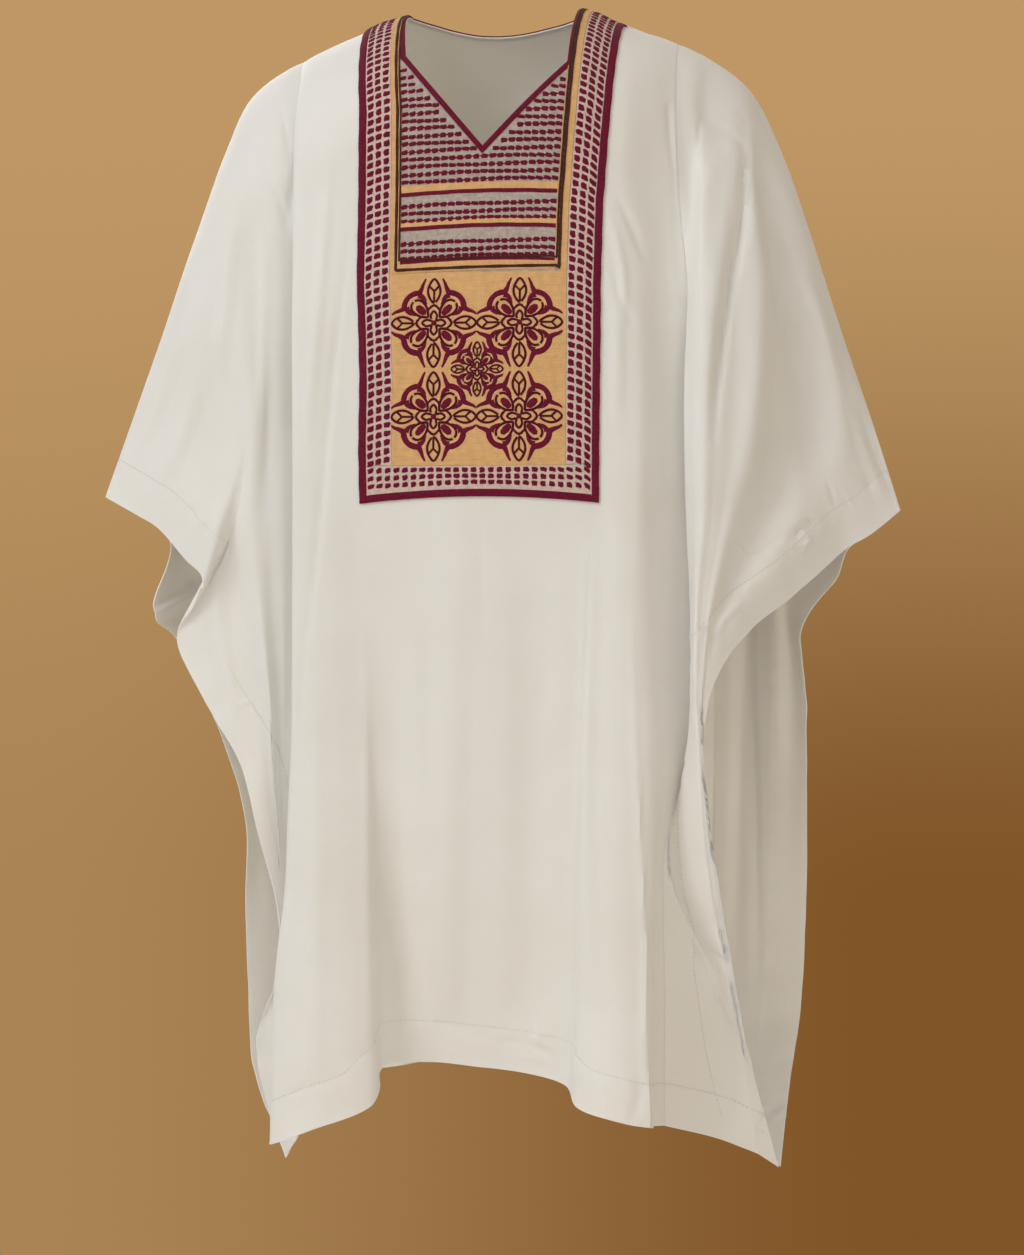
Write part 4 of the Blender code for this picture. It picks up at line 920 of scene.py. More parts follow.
def link(name, data, material):
    """Puts mesh data into the scene as a piece, and stops if it came out empty."""
    if not data.polygons:
        raise RuntimeError(f"{name} has no faces")
    piece = bpy.data.objects.new(name, data)
    data.materials.append(material)
    bpy.context.scene.collection.objects.link(piece)
    return piece


def mesh_data(name, mesh):
    """The bmesh as mesh data. The bmesh is freed."""
    data = bpy.data.meshes.new(name)
    mesh.to_mesh(data)
    mesh.free()
    return data


def run_lengths(rows, axis):
    """Length along each row or column of a grid of points, from its start."""
    steps = np.linalg.norm(np.diff(rows, axis=axis), axis=2)
    return np.insert(np.cumsum(steps, axis=axis), 0, 0.0, axis=axis)


def grid_data(rows):
    """A grid moved onto the rows of points, with a UV map in metres along the cloth."""
    count_down, count_across = rows.shape[:2]
    mesh = bmesh.new()
    bmesh.ops.create_grid(mesh, x_segments=count_across - 1, y_segments=count_down - 1, size=1.0)
    data = mesh_data("grid", mesh)
    flat = np.empty(len(data.vertices) * 3)
    data.vertices.foreach_get("co", flat)
    flat = flat.reshape(-1, 3)
    j = np.rint((flat[:, 0] + 1) / 2 * (count_across - 1)).astype(int)
    i = np.rint((1 - flat[:, 1]) / 2 * (count_down - 1)).astype(int)
    data.vertices.foreach_set("co", rows[i, j].ravel())
    layer = data.uv_layers.new(name="cloth")
    corners = np.empty(len(data.loops), dtype=np.int32)
    data.loops.foreach_get("vertex_index", corners)
    uv = np.stack([run_lengths(rows, 1)[i, j], run_lengths(rows, 0)[i, j]], axis=1)[corners]
    layer.data.foreach_set("uv", uv.ravel())
    return data


def cloth_mesh(rows, outward):
    """The rows of points as a bmesh whose faces look outward."""
    data = grid_data(rows)
    mesh = bmesh.new()
    mesh.from_mesh(data)
    bpy.data.meshes.remove(data)
    middle = Vector(rows[rows.shape[0] // 2, rows.shape[1] // 2])
    face = min(mesh.faces, key=lambda f: (f.calc_center_median() - middle).length_squared)
    if face.normal.dot(Vector(outward)) < 0:
        bmesh.ops.reverse_faces(mesh, faces=mesh.faces[:])
    mesh.normal_update()
    return mesh


def close_wall(name, mesh, thickness, material):
    """Gives the open mesh its thickness inwards and makes it a piece."""
    open_data = mesh_data(f"{name} open", mesh)
    holder = bpy.data.objects.new(f"{name} open", open_data)
    bpy.context.scene.collection.objects.link(holder)
    wall = holder.modifiers.new("wall", "SOLIDIFY")
    wall.thickness = thickness
    wall.offset = -1.0
    wall.use_even_offset = False
    bpy.context.view_layer.update()
    graph = bpy.context.evaluated_depsgraph_get()
    data = bpy.data.meshes.new_from_object(holder.evaluated_get(graph), depsgraph=graph)
    bpy.data.objects.remove(holder)
    bpy.data.meshes.remove(open_data)
    data.name = name
    data.shade_smooth()
    data.set_sharp_from_angle(angle=SHARP)
    return link(name, data, material)


def cut_out(mesh, outline, seen="front"):
    """Cuts the outline out of the mesh, as seen from the front or from above."""
    up, sight = (2, (0, 1, 0)) if seen == "front" else (1, (0, 0, 1))
    for start, end in zip(outline, outline[1:] + outline[:1]):
        a, b = Vector((start[0], 0, 0)), Vector((end[0], 0, 0))
        a[up], b[up] = start[1], end[1]
        low = [min(pair) - CUT_REACH for pair in zip(start, end)]
        high = [max(pair) + CUT_REACH for pair in zip(start, end)]
        near = []
        for face in mesh.faces:
            co = face.verts[0].co
            if low[0] < co.x < high[0] and low[1] < co[up] < high[1]:
                near.append(face)
        edges = {e for face in near for e in face.edges}
        verts = {v for face in near for v in face.verts}
        normal = (b - a).cross(Vector(sight)).normalized()
        bmesh.ops.bisect_plane(mesh, geom=[*verts, *edges, *near], plane_co=a, plane_no=normal, dist=1e-5)
    unwanted = []
    for face in mesh.faces:
        middle = face.calc_center_median()
        if inside(outline, middle.x, middle[up]):
            unwanted.append(face)
    bmesh.ops.delete(mesh, geom=unwanted, context="FACES")


def inside(outline, x, z):
    found = False
    for (ax, az), (bx, bz) in zip(outline, outline[1:] + outline[:1]):
        if (az > z) != (bz > z) and x < ax + (bx - ax) * (z - az) / (bz - az):
            found = not found
    return found


def shifted(outline, middle, distance):
    """The outline with each side moved outwards by distance, seen from its middle."""
    moved = []
    sides = []
    for (ax, az), (bx, bz) in zip(outline, outline[1:] + outline[:1]):
        direction = Vector((bx - ax, bz - az)).normalized()
        normal = Vector((direction.y, -direction.x))
        if normal.dot(Vector(((ax + bx) / 2, (az + bz) / 2)) - Vector(middle)) < 0:
            normal = -normal
        sides.append((Vector((ax, az)) + normal * distance, direction))
    for (p, d), (q, e) in zip(sides[-1:] + sides[:-1], sides):
        across = d.x * e.y - d.y * e.x
        t = ((q.x - p.x) * e.y - (q.y - p.y) * e.x) / across
        moved.append(tuple(p + d * t))
    return moved


def extend(start, end, height):
    """The point at this height on the line through start and end."""
    share = (height - start[1]) / (end[1] - start[1])
    return (start[0] + (end[0] - start[0]) * share, height)


def neck_outline(grow=0.0):
    """The neck's outline on the front, run on above the shoulders and grown by this length."""
    right_top = extend(NECK_CORNER_RIGHT, NECK_RIGHT, ABOVE)
    left_top = extend(NECK_CORNER_LEFT, NECK_LEFT, ABOVE)
    outline = [right_top, NECK_CORNER_RIGHT, NECK_TIP, NECK_CORNER_LEFT, left_top]
    return shifted(outline, NECK_MIDDLE, grow) if grow else outline


def back_neck_arc(grow=0.0):
    """The neck's outline on the back, seen from above as a half round, grown by this length."""
    middle = (NECK_RIGHT[0] + NECK_LEFT[0]) / 2
    half = (NECK_LEFT[0] - NECK_RIGHT[0]) / 2 + grow
    arc = [math.pi * step / NECK_BACK_STEPS for step in range(NECK_BACK_STEPS + 1)]
    return [(middle - half * math.cos(a), (NECK_BACK_REACH + grow) * math.sin(a)) for a in arc]


def back_neck_outline(grow=0.0):
    arc = back_neck_arc(grow)
    return [(arc[0][0], AHEAD), *arc, (arc[-1][0], AHEAD)]


class Lay:
    """Cloth read by x and by its length down from the shoulder's ridge, to lay pieces on."""

    def __init__(self, side):
        rows = dressed_body(side)
        self.xs = np.arange(-LAY_REACH, LAY_REACH + LAY_STEP, LAY_STEP)
        self.lengths = np.arange(0, LAY_LENGTH, LAY_STEP)
        middle = np.abs(rows[..., 0]) < LAY_REACH + 0.012
        ys, zs = [], []
        for row, keep in zip(rows, middle):
            x = np.maximum.accumulate(row[keep, 0])
            ys.append(np.interp(self.xs, x, row[keep, 1]))
            zs.append(np.interp(self.xs, x, row[keep, 2]))
        ys, zs = np.array(ys), np.array(zs)
        steps = np.hypot(np.diff(ys, axis=0), np.diff(zs, axis=0))
        down = np.insert(np.cumsum(steps, axis=0), 0, 0.0, axis=0)
        self.y, self.z = (
            np.stack([np.interp(self.lengths, *pair) for pair in zip(down.T, values.T)], axis=1)
            for values in (ys, zs))
        grid_x = np.broadcast_to(self.xs, self.y.shape)
        self.points = np.stack([grid_x, self.y, self.z], axis=2)
        self.normals = normals_of(self.points, OUTWARD[side])

    def read(self, table, x, a):
        """Value of a table at x and length a, between its points."""
        i = np.clip(a / LAY_STEP, 0, len(self.lengths) - 1.001)
        j = np.clip((x + LAY_REACH) / LAY_STEP, 0, len(self.xs) - 1.001)
        i0, j0 = i.astype(int), j.astype(int)
        s, t = (i - i0), (j - j0)
        if table.ndim == 3:
            s, t = s[..., None], t[..., None]
        upper = table[i0, j0] * (1 - t) + table[i0, j0 + 1] * t
        lower = table[i0 + 1, j0] * (1 - t) + table[i0 + 1, j0 + 1] * t
        return upper * (1 - s) + lower * s

    def place(self, x, a, lift=0.0):
        """Points at x and length a, lifted off the cloth along its normal."""
        x, a = np.asarray(x, float), np.asarray(a, float)
        lift = np.broadcast_to(np.asarray(lift, float), x.shape)
        point = self.read(self.points, x, a)
        point[..., 0] = x
        return point + self.read(self.normals, x, a) * lift[..., None]

    def length_at(self, x, level, table=None):
        """Length down the cloth at which it comes to this height at x."""
        x, level = np.broadcast_arrays(np.asarray(x, float), np.asarray(level, float))
        table = self.z if table is None else table
        out = np.empty(x.size)
        for n, (px, pz) in enumerate(zip(x.ravel(), level.ravel())):
            j = min(max((px + LAY_REACH) / LAY_STEP, 0), len(self.xs) - 1.001)
            t = j - int(j)
            column = table[:, int(j)] * (1 - t) + table[:, int(j) + 1] * t
            out[n] = np.interp(-pz, -column, self.lengths)
        return out.reshape(x.shape)


@functools.cache
def chest():
    return Lay("front")


def laid(points):
    """A line of x and height points as x and length down the cloth."""
    points = np.asarray(points, float)
    return np.stack([points[:, 0], chest().length_at(points[:, 0], points[:, 1])], axis=1)


def panel_side(xs, height):
    """The panel's edge at this height, straight between its stated points."""
    return np.interp(-np.asarray(height), [-z for z in PANEL_HEIGHTS], xs)


def bottom_bow(x):
    """Rise of the panel's bottom edge at this place across."""
    share = (np.asarray(x, float) - PANEL_RIGHT_X[-1]) / (PANEL_LEFT_X[-1] - PANEL_RIGHT_X[-1])
    return BOTTOM_BOW * np.sin(math.pi * np.clip(share, 0, 1)) ** 0.8


def edge_x(side, inset, a):
    """x of a line set in from the panel's side, at each length down the cloth."""
    xs, sign = (PANEL_RIGHT_X, 1) if side == "right" else (PANEL_LEFT_X, -1)
    x = np.full(a.shape, xs[1] + sign * inset)
    for _ in range(4):
        x = panel_side(xs, chest().read(chest().z, x, a)) + sign * inset
    return x


def make_band(name, left, right, across, low, high, material, bulge=0.0, lay=None, outward=PANEL_OUTWARD):
    """Closed band between two lines of x and length points, from low to high off the cloth.

    It is lower at its sides than in the middle by the bulge.
    """
    lay = lay or chest()
    t = np.linspace(0, 1, across + 1)[None, :, None]
    flat = left[:, None] * (1 - t) + right[:, None] * t
    lift = high - bulge * (2 * t[..., 0] - 1) ** 2 * np.ones((len(left), 1))
    rows = lay.place(flat[..., 0], flat[..., 1], lift)
    return close_wall(name, cloth_mesh(rows, outward), high - low, material)


def tube(mesh, path, width, height, lift, closed=False):
    """Adds a rounded thread that follows a line of x and length points on the chest."""
    path = np.asarray(path, float)
    width = np.broadcast_to(np.asarray(width, float), (len(path),))
    if closed:
        tangent = np.roll(path, -1, axis=0) - np.roll(path, 1, axis=0)
        if np.allclose(path[0], path[-1]):
            tangent[0] = tangent[-1] = path[1] - path[-2]
    else:
        tangent = np.gradient(path, axis=0)
    tangent /= np.maximum(np.linalg.norm(tangent, axis=1, keepdims=True), 1e-12)
    side = np.stack([tangent[:, 1], -tangent[:, 0]], axis=1)
    offsets = np.array(THREAD_ACROSS)
    lifts = np.array(THREAD_UP) * height + lift
    flat = path[:, None] + side[:, None] * (offsets[None, :, None] * width[:, None, None])
    place = chest().place(flat[..., 0], flat[..., 1], np.broadcast_to(lifts, flat.shape[:2]))
    cells = len(THREAD_ACROSS) - 1
    made = bmesh.ops.create_grid(mesh, x_segments=cells, y_segments=len(path) - 1, size=1.0)["verts"]
    for vert in made:
        j = round((vert.co.x + 1) / 2 * cells)
        i = round((1 - vert.co.y) / 2 * (len(path) - 1))
        vert.co = place[i, j]
    bmesh.ops.remove_doubles(mesh, verts=made, dist=1e-6)


def finish_threads(name, mesh, material):
    """Closes thread ends, turns faces outward and makes the threads one piece."""
    ends = [e for e in mesh.edges if e.is_boundary]
    bmesh.ops.holes_fill(mesh, edges=ends, sides=5)
    bmesh.ops.recalc_face_normals(mesh, faces=mesh.faces[:])
    data = mesh_data(name, mesh)
    data.shade_smooth()
    data.set_sharp_from_angle(angle=THREAD_SHARP)
    return link(name, data, material)


def pad(mesh, x, a, width, length, height, square, turn=0.0, ragged=0):
    """Adds a small rounded patch of stitches on the panel; square is 1 for round, less for boxy."""
    around = 12 if ragged else 8
    made = bmesh.ops.create_uvsphere(mesh, u_segments=around, v_segments=4, radius=1.0)["verts"]
    shape = np.array([v.co for v in made])
    flat = np.sign(shape[:, :2]) * np.abs(shape[:, :2]) ** square
    if ragged:
        turns = np.arctan2(shape[:, 1], shape[:, 0])
        frayed = 0.09 * np.sin(turns * 5 + ragged) + 0.06 * np.sin(turns * 3 + ragged * 2.3)
        flat *= 1 + frayed[:, None]
    px = flat[:, 0] * width / 2
    py = flat[:, 1] * length / 2
    xs = x + px * math.cos(turn) - py * math.sin(turn)
    downs = a + px * math.sin(turn) + py * math.cos(turn)
    place = chest().place(xs, downs, PANEL_TOP + shape[:, 2] * height)
    for vert, point in zip(made, place):
        vert.co = point


def rounded(points, count, closed=True):
    """Smooth line through given points."""
    points = np.asarray(points, float)
    if closed:
        points = np.vstack([points, points[:1]])
        wrapped = np.vstack([points[-2:-1], points, points[1:2]])
        cells = [0] + [count] * (len(points) - 1) + [0]
        return splines(wrapped[None], cells)[0][1:]
    return splines(points[None], [count] * (len(points) - 1))[0]


# Materials


def add(tree, kind, inputs=None, **settings):
    """A new node; each of its inputs gets a value, or is linked to another node's output."""
    node = tree.nodes.new(kind)
    for key, value in settings.items():
        setattr(node, key, value)
    feed(tree, node, inputs or {})
    return node


def feed(tree, node, inputs):
    for key, value in inputs.items():
        if isinstance(value, bpy.types.NodeSocket):
            tree.links.new(value, node.inputs[key])
        else:
            node.inputs[key].default_value = value


def group_sockets(tree, inputs, outputs):
    for name, kind, value in inputs:
        socket = tree.interface.new_socket(name, in_out="INPUT", socket_type=kind)
        if value is not None:
            socket.default_value = value
    for name, kind in outputs:
        tree.interface.new_socket(name, in_out="OUTPUT", socket_type=kind)
    return add(tree, "NodeGroupInput").outputs, add(tree, "NodeGroupOutput")


@functools.cache
def weave_group():
    """Plain weave: threads over and under each other, from a UV map in metres."""
    tree = bpy.data.node_groups.new("Plain weave", "ShaderNodeTree")
    into, out = group_sockets(
        tree,
        [("Vector", "NodeSocketVector", None), ("Threads per metre", "NodeSocketFloat", 1600.0),
         ("Slub", "NodeSocketFloat", 0.3)],
        [("Height", "NodeSocketFloat"), ("Slubs", "NodeSocketFloat")])
    scale = add(tree, "ShaderNodeVectorMath", {0: into["Vector"], "Scale": into["Threads per metre"]},
                operation="SCALE")
    parts = add(tree, "ShaderNodeSeparateXYZ", {"Vector": scale.outputs["Vector"]})
    ripples = []
    for axis in ("X", "Y"):
        turn = add(tree, "ShaderNodeMath", {0: parts.outputs[axis], 1: math.pi}, operation="MULTIPLY")
        ripples.append(add(tree, "ShaderNodeMath", {0: turn.outputs["Value"]}, operation="SINE"))
    crossed = add(tree, "ShaderNodeMath", {n: ripples[n].outputs["Value"] for n in (0, 1)},
                  operation="MULTIPLY")
    stretch = add(tree, "ShaderNodeMapping", {"Scale": (40.0, 900.0, 1.0), "Vector": into["Vector"]})
    slub = add(tree, "ShaderNodeTexNoise",
               {"Scale": 1.0, "Detail": 2.0, "Vector": stretch.outputs["Vector"]})
    weight = add(tree, "ShaderNodeMath", {0: slub.outputs["Fac"], 1: into["Slub"]}, operation="MULTIPLY")
    total = add(tree, "ShaderNodeMath", {0: crossed.outputs["Value"], 1: weight.outputs["Value"]},
                operation="ADD")
    feed(tree, out, {"Height": total.outputs["Value"], "Slubs": slub.outputs["Fac"]})
    return tree


@functools.cache
def tint_group():
    """Varies a colour softly over the surface, from Object coordinates."""
    tree = bpy.data.node_groups.new("Soft tint", "ShaderNodeTree")
    into, out = group_sockets(
        tree,
        [("Vector", "NodeSocketVector", None), ("Colour", "NodeSocketColor", (1, 1, 1, 1)),
         ("Other colour", "NodeSocketColor", (1, 1, 1, 1)), ("Scale", "NodeSocketFloat", 20.0)],
        [("Colour", "NodeSocketColor"), ("Mask", "NodeSocketFloat")])
    cloud = add(tree, "ShaderNodeTexNoise",
                {"Detail": 4.0, "Vector": into["Vector"], "Scale": into["Scale"]})
    spread = add(tree, "ShaderNodeMapRange",
                 {"From Min": 0.32, "From Max": 0.68, "Value": cloud.outputs["Fac"]})
    mix = add(tree, "ShaderNodeMix", {"Factor": spread.outputs["Result"], "A": into["Colour"],
                                      "B": into["Other colour"]}, data_type="RGBA")
    feed(tree, out, {"Colour": mix.outputs["Result"], "Mask": spread.outputs["Result"]})
    return tree


def tinted_material(name, colour, other, scale, roughness, finish):
    """Material with a soft tint between two colours; finish holds the shader's other values."""
    material = bpy.data.materials.new(name)
    material.use_nodes = True
    tree = material.node_tree
    shader = tree.nodes["Principled BSDF"]
    where = add(tree, "ShaderNodeTexCoord")
    tint = add(tree, "ShaderNodeGroup", {"Colour": (*colour, 1), "Other colour": (*other, 1),
                                         "Scale": scale, "Vector": where.outputs["Object"]},
               node_tree=tint_group())
    feed(tree, shader, {"Base Color": tint.outputs["Colour"], "Roughness": roughness, **finish})
    return material, tree, shader, where, tint


def woven_material(name, colours, scale, threads, slub, bump, roughness, finish, streaks=0.0):
    """Woven cloth: a plain weave on the UV map, slubs and a soft tint."""
    material, tree, shader, _, tint = tinted_material(name, *colours, scale, roughness, finish)
    uv = add(tree, "ShaderNodeUVMap", uv_map="cloth")
    weave = add(tree, "ShaderNodeGroup", {"Threads per metre": threads, "Slub": slub,
                                          "Vector": uv.outputs["UV"]}, node_tree=weave_group())
    strength, distance = bump
    raised = add(tree, "ShaderNodeBump", {"Strength": strength, "Distance": distance,
                                          "Height": weave.outputs["Height"]})
    feed(tree, shader, {"Normal": raised.outputs["Normal"]})
    if streaks:
        spread = add(tree, "ShaderNodeMapRange", {"From Min": 0.35, "From Max": 0.75, "To Max": streaks,
                                                  "Value": weave.outputs["Slubs"]})
        mix = add(tree, "ShaderNodeMix", {"B": (*darker(colours[1], 0.74), 1),
                                          "Factor": spread.outputs["Result"],
                                          "A": tint.outputs["Colour"]}, data_type="RGBA")
        feed(tree, shader, {"Base Color": mix.outputs["Result"]})
    return material


def thread_material(name, colour, other):
    """Woolly embroidery thread: short stitches side by side, matt and a little fuzzy."""
    finish = {"Sheen Weight": 0.05, "Specular IOR Level": 0.15}
    material, tree, shader, where, _ = tinted_material(name, colour, other, 620.0, 0.85, finish)
    turned = add(tree, "ShaderNodeMapping",
                 {"Rotation": (0.0, math.radians(35), 0.0), "Scale": (1500.0, 500.0, 520.0),
                  "Vector": where.outputs["Object"]})
    strands = add(tree, "ShaderNodeTexNoise",
                  {"Scale": 1.0, "Detail": 2.0, "Vector": turned.outputs["Vector"]})
    raised = add(tree, "ShaderNodeBump", {"Strength": 0.9, "Distance": 0.0009,
                                          "Height": strands.outputs["Fac"]})
    feed(tree, shader, {"Normal": raised.outputs["Normal"]})
    return material


def darker(colour, share):
    return tuple(c * share for c in colour)


@functools.cache
def white_cloth():
    """Smooth white cotton; a share of the light spreads inside it and shows through."""
    colours = (tuple(cloth_props().colour), (0.80, 0.782, 0.745))
    finish = {"Sheen Weight": 0.25, "Sheen Roughness": 0.4, "Specular IOR Level": 0.25,
              "Subsurface Weight": 0.6, "Subsurface Radius": (1.0, 0.88, 0.72),
              "Subsurface Scale": 0.004}
    return woven_material("white cloth", colours, 9.0, 2200.0, 0.5, (0.12, 0.0002), 0.58, finish)


@functools.cache
def threads_of(name):
    panel = panel_props()
    colours = {
        "burgundy": (tuple(panel.burgundy), darker(panel.burgundy, 0.45)),
        "deep burgundy": (darker(panel.burgundy, 0.55), darker(panel.burgundy, 0.3)),
        "peach": (tuple(panel.peach), darker(panel.peach, 0.85)),
        "brown": (tuple(panel.brown), darker(panel.brown, 0.6)),
        "white": ((0.74, 0.72, 0.68), (0.66, 0.64, 0.60)),
    }
    return thread_material(f"{name} thread", *colours[name])


@functools.cache
def ground_of(name):
    panel = panel_props()
    colour, other, scale = {
        "tan ground": (tuple(panel.tan), darker(panel.tan, 0.84), 130.0),
        "grey ground": (tuple(panel.grey), (0.46, 0.35, 0.32), 260.0),
        "net ground": (tuple(panel.net), darker(panel.net, 0.76), 300.0),
    }[name]
    finish = {"Sheen Weight": 0.05, "Sheen Roughness": 0.4, "Specular IOR Level": 0.25}
    return woven_material(name, (colour, other), scale, 700.0, 1.2, (0.7, 0.0006), 0.9, finish,
                          streaks=0.45)


# Pieces


def read_line(table, lengths, place):
    """Value of a table of rows at a place along its line."""
    return Vector([np.interp(place, lengths, table[:, n]) for n in range(3)])


def hem_stitches(name, paths, material):
    """Small stitches along lines of points with their normals."""
    cloth = cloth_props()
    mesh = bmesh.new()
    for points, normals in paths:
        lengths = lengths_along(points)
        for step in range(int(lengths[-1] / cloth.stitch_gap)):
            place = (step + 0.5) * cloth.stitch_gap
            at = read_line(points, lengths, place)
            normal = read_line(normals, lengths, place).normalized()
            along = (read_line(points, lengths, place + 0.001) - at).normalized()
            side = normal.cross(along).normalized()
            made = bmesh.ops.create_uvsphere(mesh, u_segments=6, v_segments=3, radius=1.0)["verts"]
            for vert in made:
                p = vert.co.copy()
                vert.co = (at + along * (p.x * cloth.stitch / 2) + side * (p.y * STITCH_HALF)
                           + normal * (p.z * STITCH_HALF + STITCH_LIFT))
    data = mesh_data(name, mesh)
    data.shade_smooth()
    return link(name, data, material)


def line_inside(rows, normals, distances, wanted, axis):
    """Points where a distance from an edge comes to the wanted one, one for each row or column."""
    if axis == 0:
        rows, normals, distances = (np.swapaxes(a, 0, 1) for a in (rows, normals, distances))
    points, turned = [], []
    for row, normal, distance in zip(rows, normals, distances):
        back = distance[::-1]
        if back[0] > wanted or back.max() < wanted:
            continue
        end = int(np.argmax(back > wanted))
        t = (wanted - back[end - 1]) / (back[end] - back[end - 1])
        first, second = row[::-1][end - 1], row[::-1][end]
        points.append(first + (second - first) * t)
        turned.append(normal[::-1][end - 1])
    return np.array(points), np.array(turned)


def body_stitch_path(side):
    rows = dressed_body(side)
    normals = normals_of(rows, OUTWARD[side])
    distances, _ = distance_to(rows[-HEM_ROWS:], rows[-1])
    return line_inside(rows[-HEM_ROWS:], normals[-HEM_ROWS:], distances, cloth_props().hem, axis=0)


def sleeve_stitch_paths(side):
    """Lines of the stitches along a sleeve's free edges and hems, clear of the notch."""
    hem = cloth_props().hem
    paths = []
    for facing, rows in zip(OUTWARD, dressed_sleeve(side)):
        normals = normals_of(rows, OUTWARD[facing])
        edge_gap, _ = distance_to(rows, rows[:, -1])
        hem_gap, _ = distance_to(rows, rows[-1])
        points, turned = line_inside(rows, normals, edge_gap, hem, axis=1)
        keep = points[:, 2] > rows[-1, -1, 2] + hem + 0.01
        if side == "right" and facing == "front":
            above = points[:, 2] > NOTCH_HEIGHT
            keep = keep & (notch_share(points[:, 2]) > 0.5)
            paths.append((points[keep & above], turned[keep & above]))
            keep = keep & ~above
        paths.append((points[keep], turned[keep]))
        points, turned = line_inside(rows[-HEM_ROWS:], normals[-HEM_ROWS:], hem_gap[-HEM_ROWS:], hem, axis=0)
        if len(points) > 4:
            paths.append((points, turned))
    return paths


def fit_piece(piece, slot, *nodes):
    """Says what a piece rides on and the nodes that it takes the place of; the slot is not used."""
    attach(piece, "root")
    if nodes:
        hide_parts(*nodes)
    return piece


def hang(name, node, rows, outward, neck=None, seen="front"):
    """Cloth on the rows of points, with the neck cut out of it."""
    mesh = cloth_mesh(rows, outward)
    if neck:
        cut_out(mesh, neck, seen)
    piece = close_wall(name, mesh, cloth_props().wall, white_cloth())
    return fit_piece(piece, name, node)


def hang_sleeve(side):
    front, back = dressed_sleeve(side)
    rows = np.concatenate([back[:0:-1], front])
    outward = (-1 if side == "right" else 1, 0, 0.6)
    return hang(f"{side}_sleeve_cloth", f"sleeve_{side}", rows, outward)


class AGBADA_OT_cloth(bpy.types.Operator):
    """Hangs the front, the back and the two sleeves"""

    bl_idname = "agbada.cloth"
    bl_label = "Cloth"

    def execute(self, context):
        front = hang("front_cloth", "front_body", dressed_body("front"), OUTWARD["front"], neck_outline())
        back = hang("back_cloth", "back_body", dressed_body("back"), OUTWARD["back"], back_neck_outline(),
                    "above")
        white = threads_of("white")
        rows = []
        for piece, side, flat, rest in ((front, "front", (0.64, 1.26), "back_cloth"),
                                        (back, "back", (0.60, 1.26), "front_cloth")):
            stitches = hem_stitches(f"{side}_hem_stitches", [body_stitch_path(side)], white)
            rows.append((piece, stitches, flat, 0.60, rest))
        for side, area in (("right", 0.47), ("left", 0.50)):
            piece = hang_sleeve(side)
            stitches = hem_stitches(f"{side}_sleeve_stitches", sleeve_stitch_paths(side), white)
            rows.append((piece, stitches, (0.90, 1.55), area, "front_cloth"))
        for piece, stitches, flat, area, rest in rows:
            fit_piece(stitches, piece.name)
        return {"FINISHED"}


def side_lines(side, start, width, bottom, count=300):
    """Outer and inner line of a strip that follows one side of the panel down to a height."""
    lines = []
    for inset in (start, start + width):
        end = chest().length_at(edge_x(side, inset, np.array([0.5])), bottom)
        a = np.linspace(0.0, float(end[0]), count)
        lines.append(np.stack([edge_x(side, inset, a), a], axis=1))
    return lines if side == "right" else lines[::-1]


def level_lines(top, bottom, inset):
    """Lower and upper line of a strip between two heights, from side to side."""
    lines = []
    for height in (bottom, top):
        x0 = panel_side(PANEL_RIGHT_X, height) + inset
        x1 = panel_side(PANEL_LEFT_X, height) - inset
        x = np.linspace(float(x0), float(x1), 120)
        rise = bottom_bow(x) if height == bottom else 0.0
        lines.append(np.stack([x, chest().length_at(x, height + rise)], axis=1))
    return lines


def ground_sheet(name, top, bottom, material, count):
    """Sheet between the panel's borders, from the shoulder or a height down to a height."""
    share = np.linspace(0, 1, 65)[None]
    down = np.linspace(0, 1, count)[:, None]
    x = np.full((count, share.size), 0.01)
    for _ in range(3):
        end = chest().length_at(x[-1], bottom)
        start = np.zeros(share.size) if top is None else chest().length_at(x[0], top)
        a = start + (end - start) * down
        x0 = edge_x("right", INNER + PIECE_GAP, a[:, 0])[:, None]
        x1 = edge_x("left", INNER + PIECE_GAP, a[:, -1])[:, None]
        x = x0 + (x1 - x0) * share
    mesh = cloth_mesh(chest().place(x, a, PANEL_TOP), PANEL_OUTWARD)
    cut_out(mesh, neck_outline(NECK_BINDING_WIDTH + PIECE_GAP))
    piece = close_wall(name, mesh, PANEL_WALL, material)
    return fit_piece(piece, "panel_ground", "chest_panel")


class AGBADA_OT_panel(bpy.types.Operator):
    """Lays the panel's ground and borders on the chest"""

    bl_idname = "agbada.panel"
    bl_label = "Panel"

    def execute(self, context):
        upper = ground_sheet("upper_ground", None, FRAME_BOTTOM, ground_of("grey ground"), 130)
        lower = ground_sheet("lower_ground", FRAME_BOTTOM, FIELD_BOTTOM, ground_of("tan ground"), 80)
        net = ground_of("net ground")
        for side in ("right", "left"):
            edges = side_lines(side, BINDING_WIDTH + PIECE_GAP, BORDER_WIDTH - PIECE_GAP, FIELD_BOTTOM)
            strip = make_band(f"{side}_border_strip", *edges, 8, PANEL_LIFT, PANEL_TOP, net)
            fit_piece(strip, f"{side}_border", f"border_{side}")
        edges = level_lines(FIELD_BOTTOM - PIECE_GAP, PANEL_HEIGHTS[-1] + BINDING_WIDTH, BINDING_WIDTH)
        strip = make_band("bottom_border_strip", *edges, 10, PANEL_LIFT, PANEL_TOP, net)
        fit_piece(strip, "bottom_border", "border_bottom")
        return {"FINISHED"}


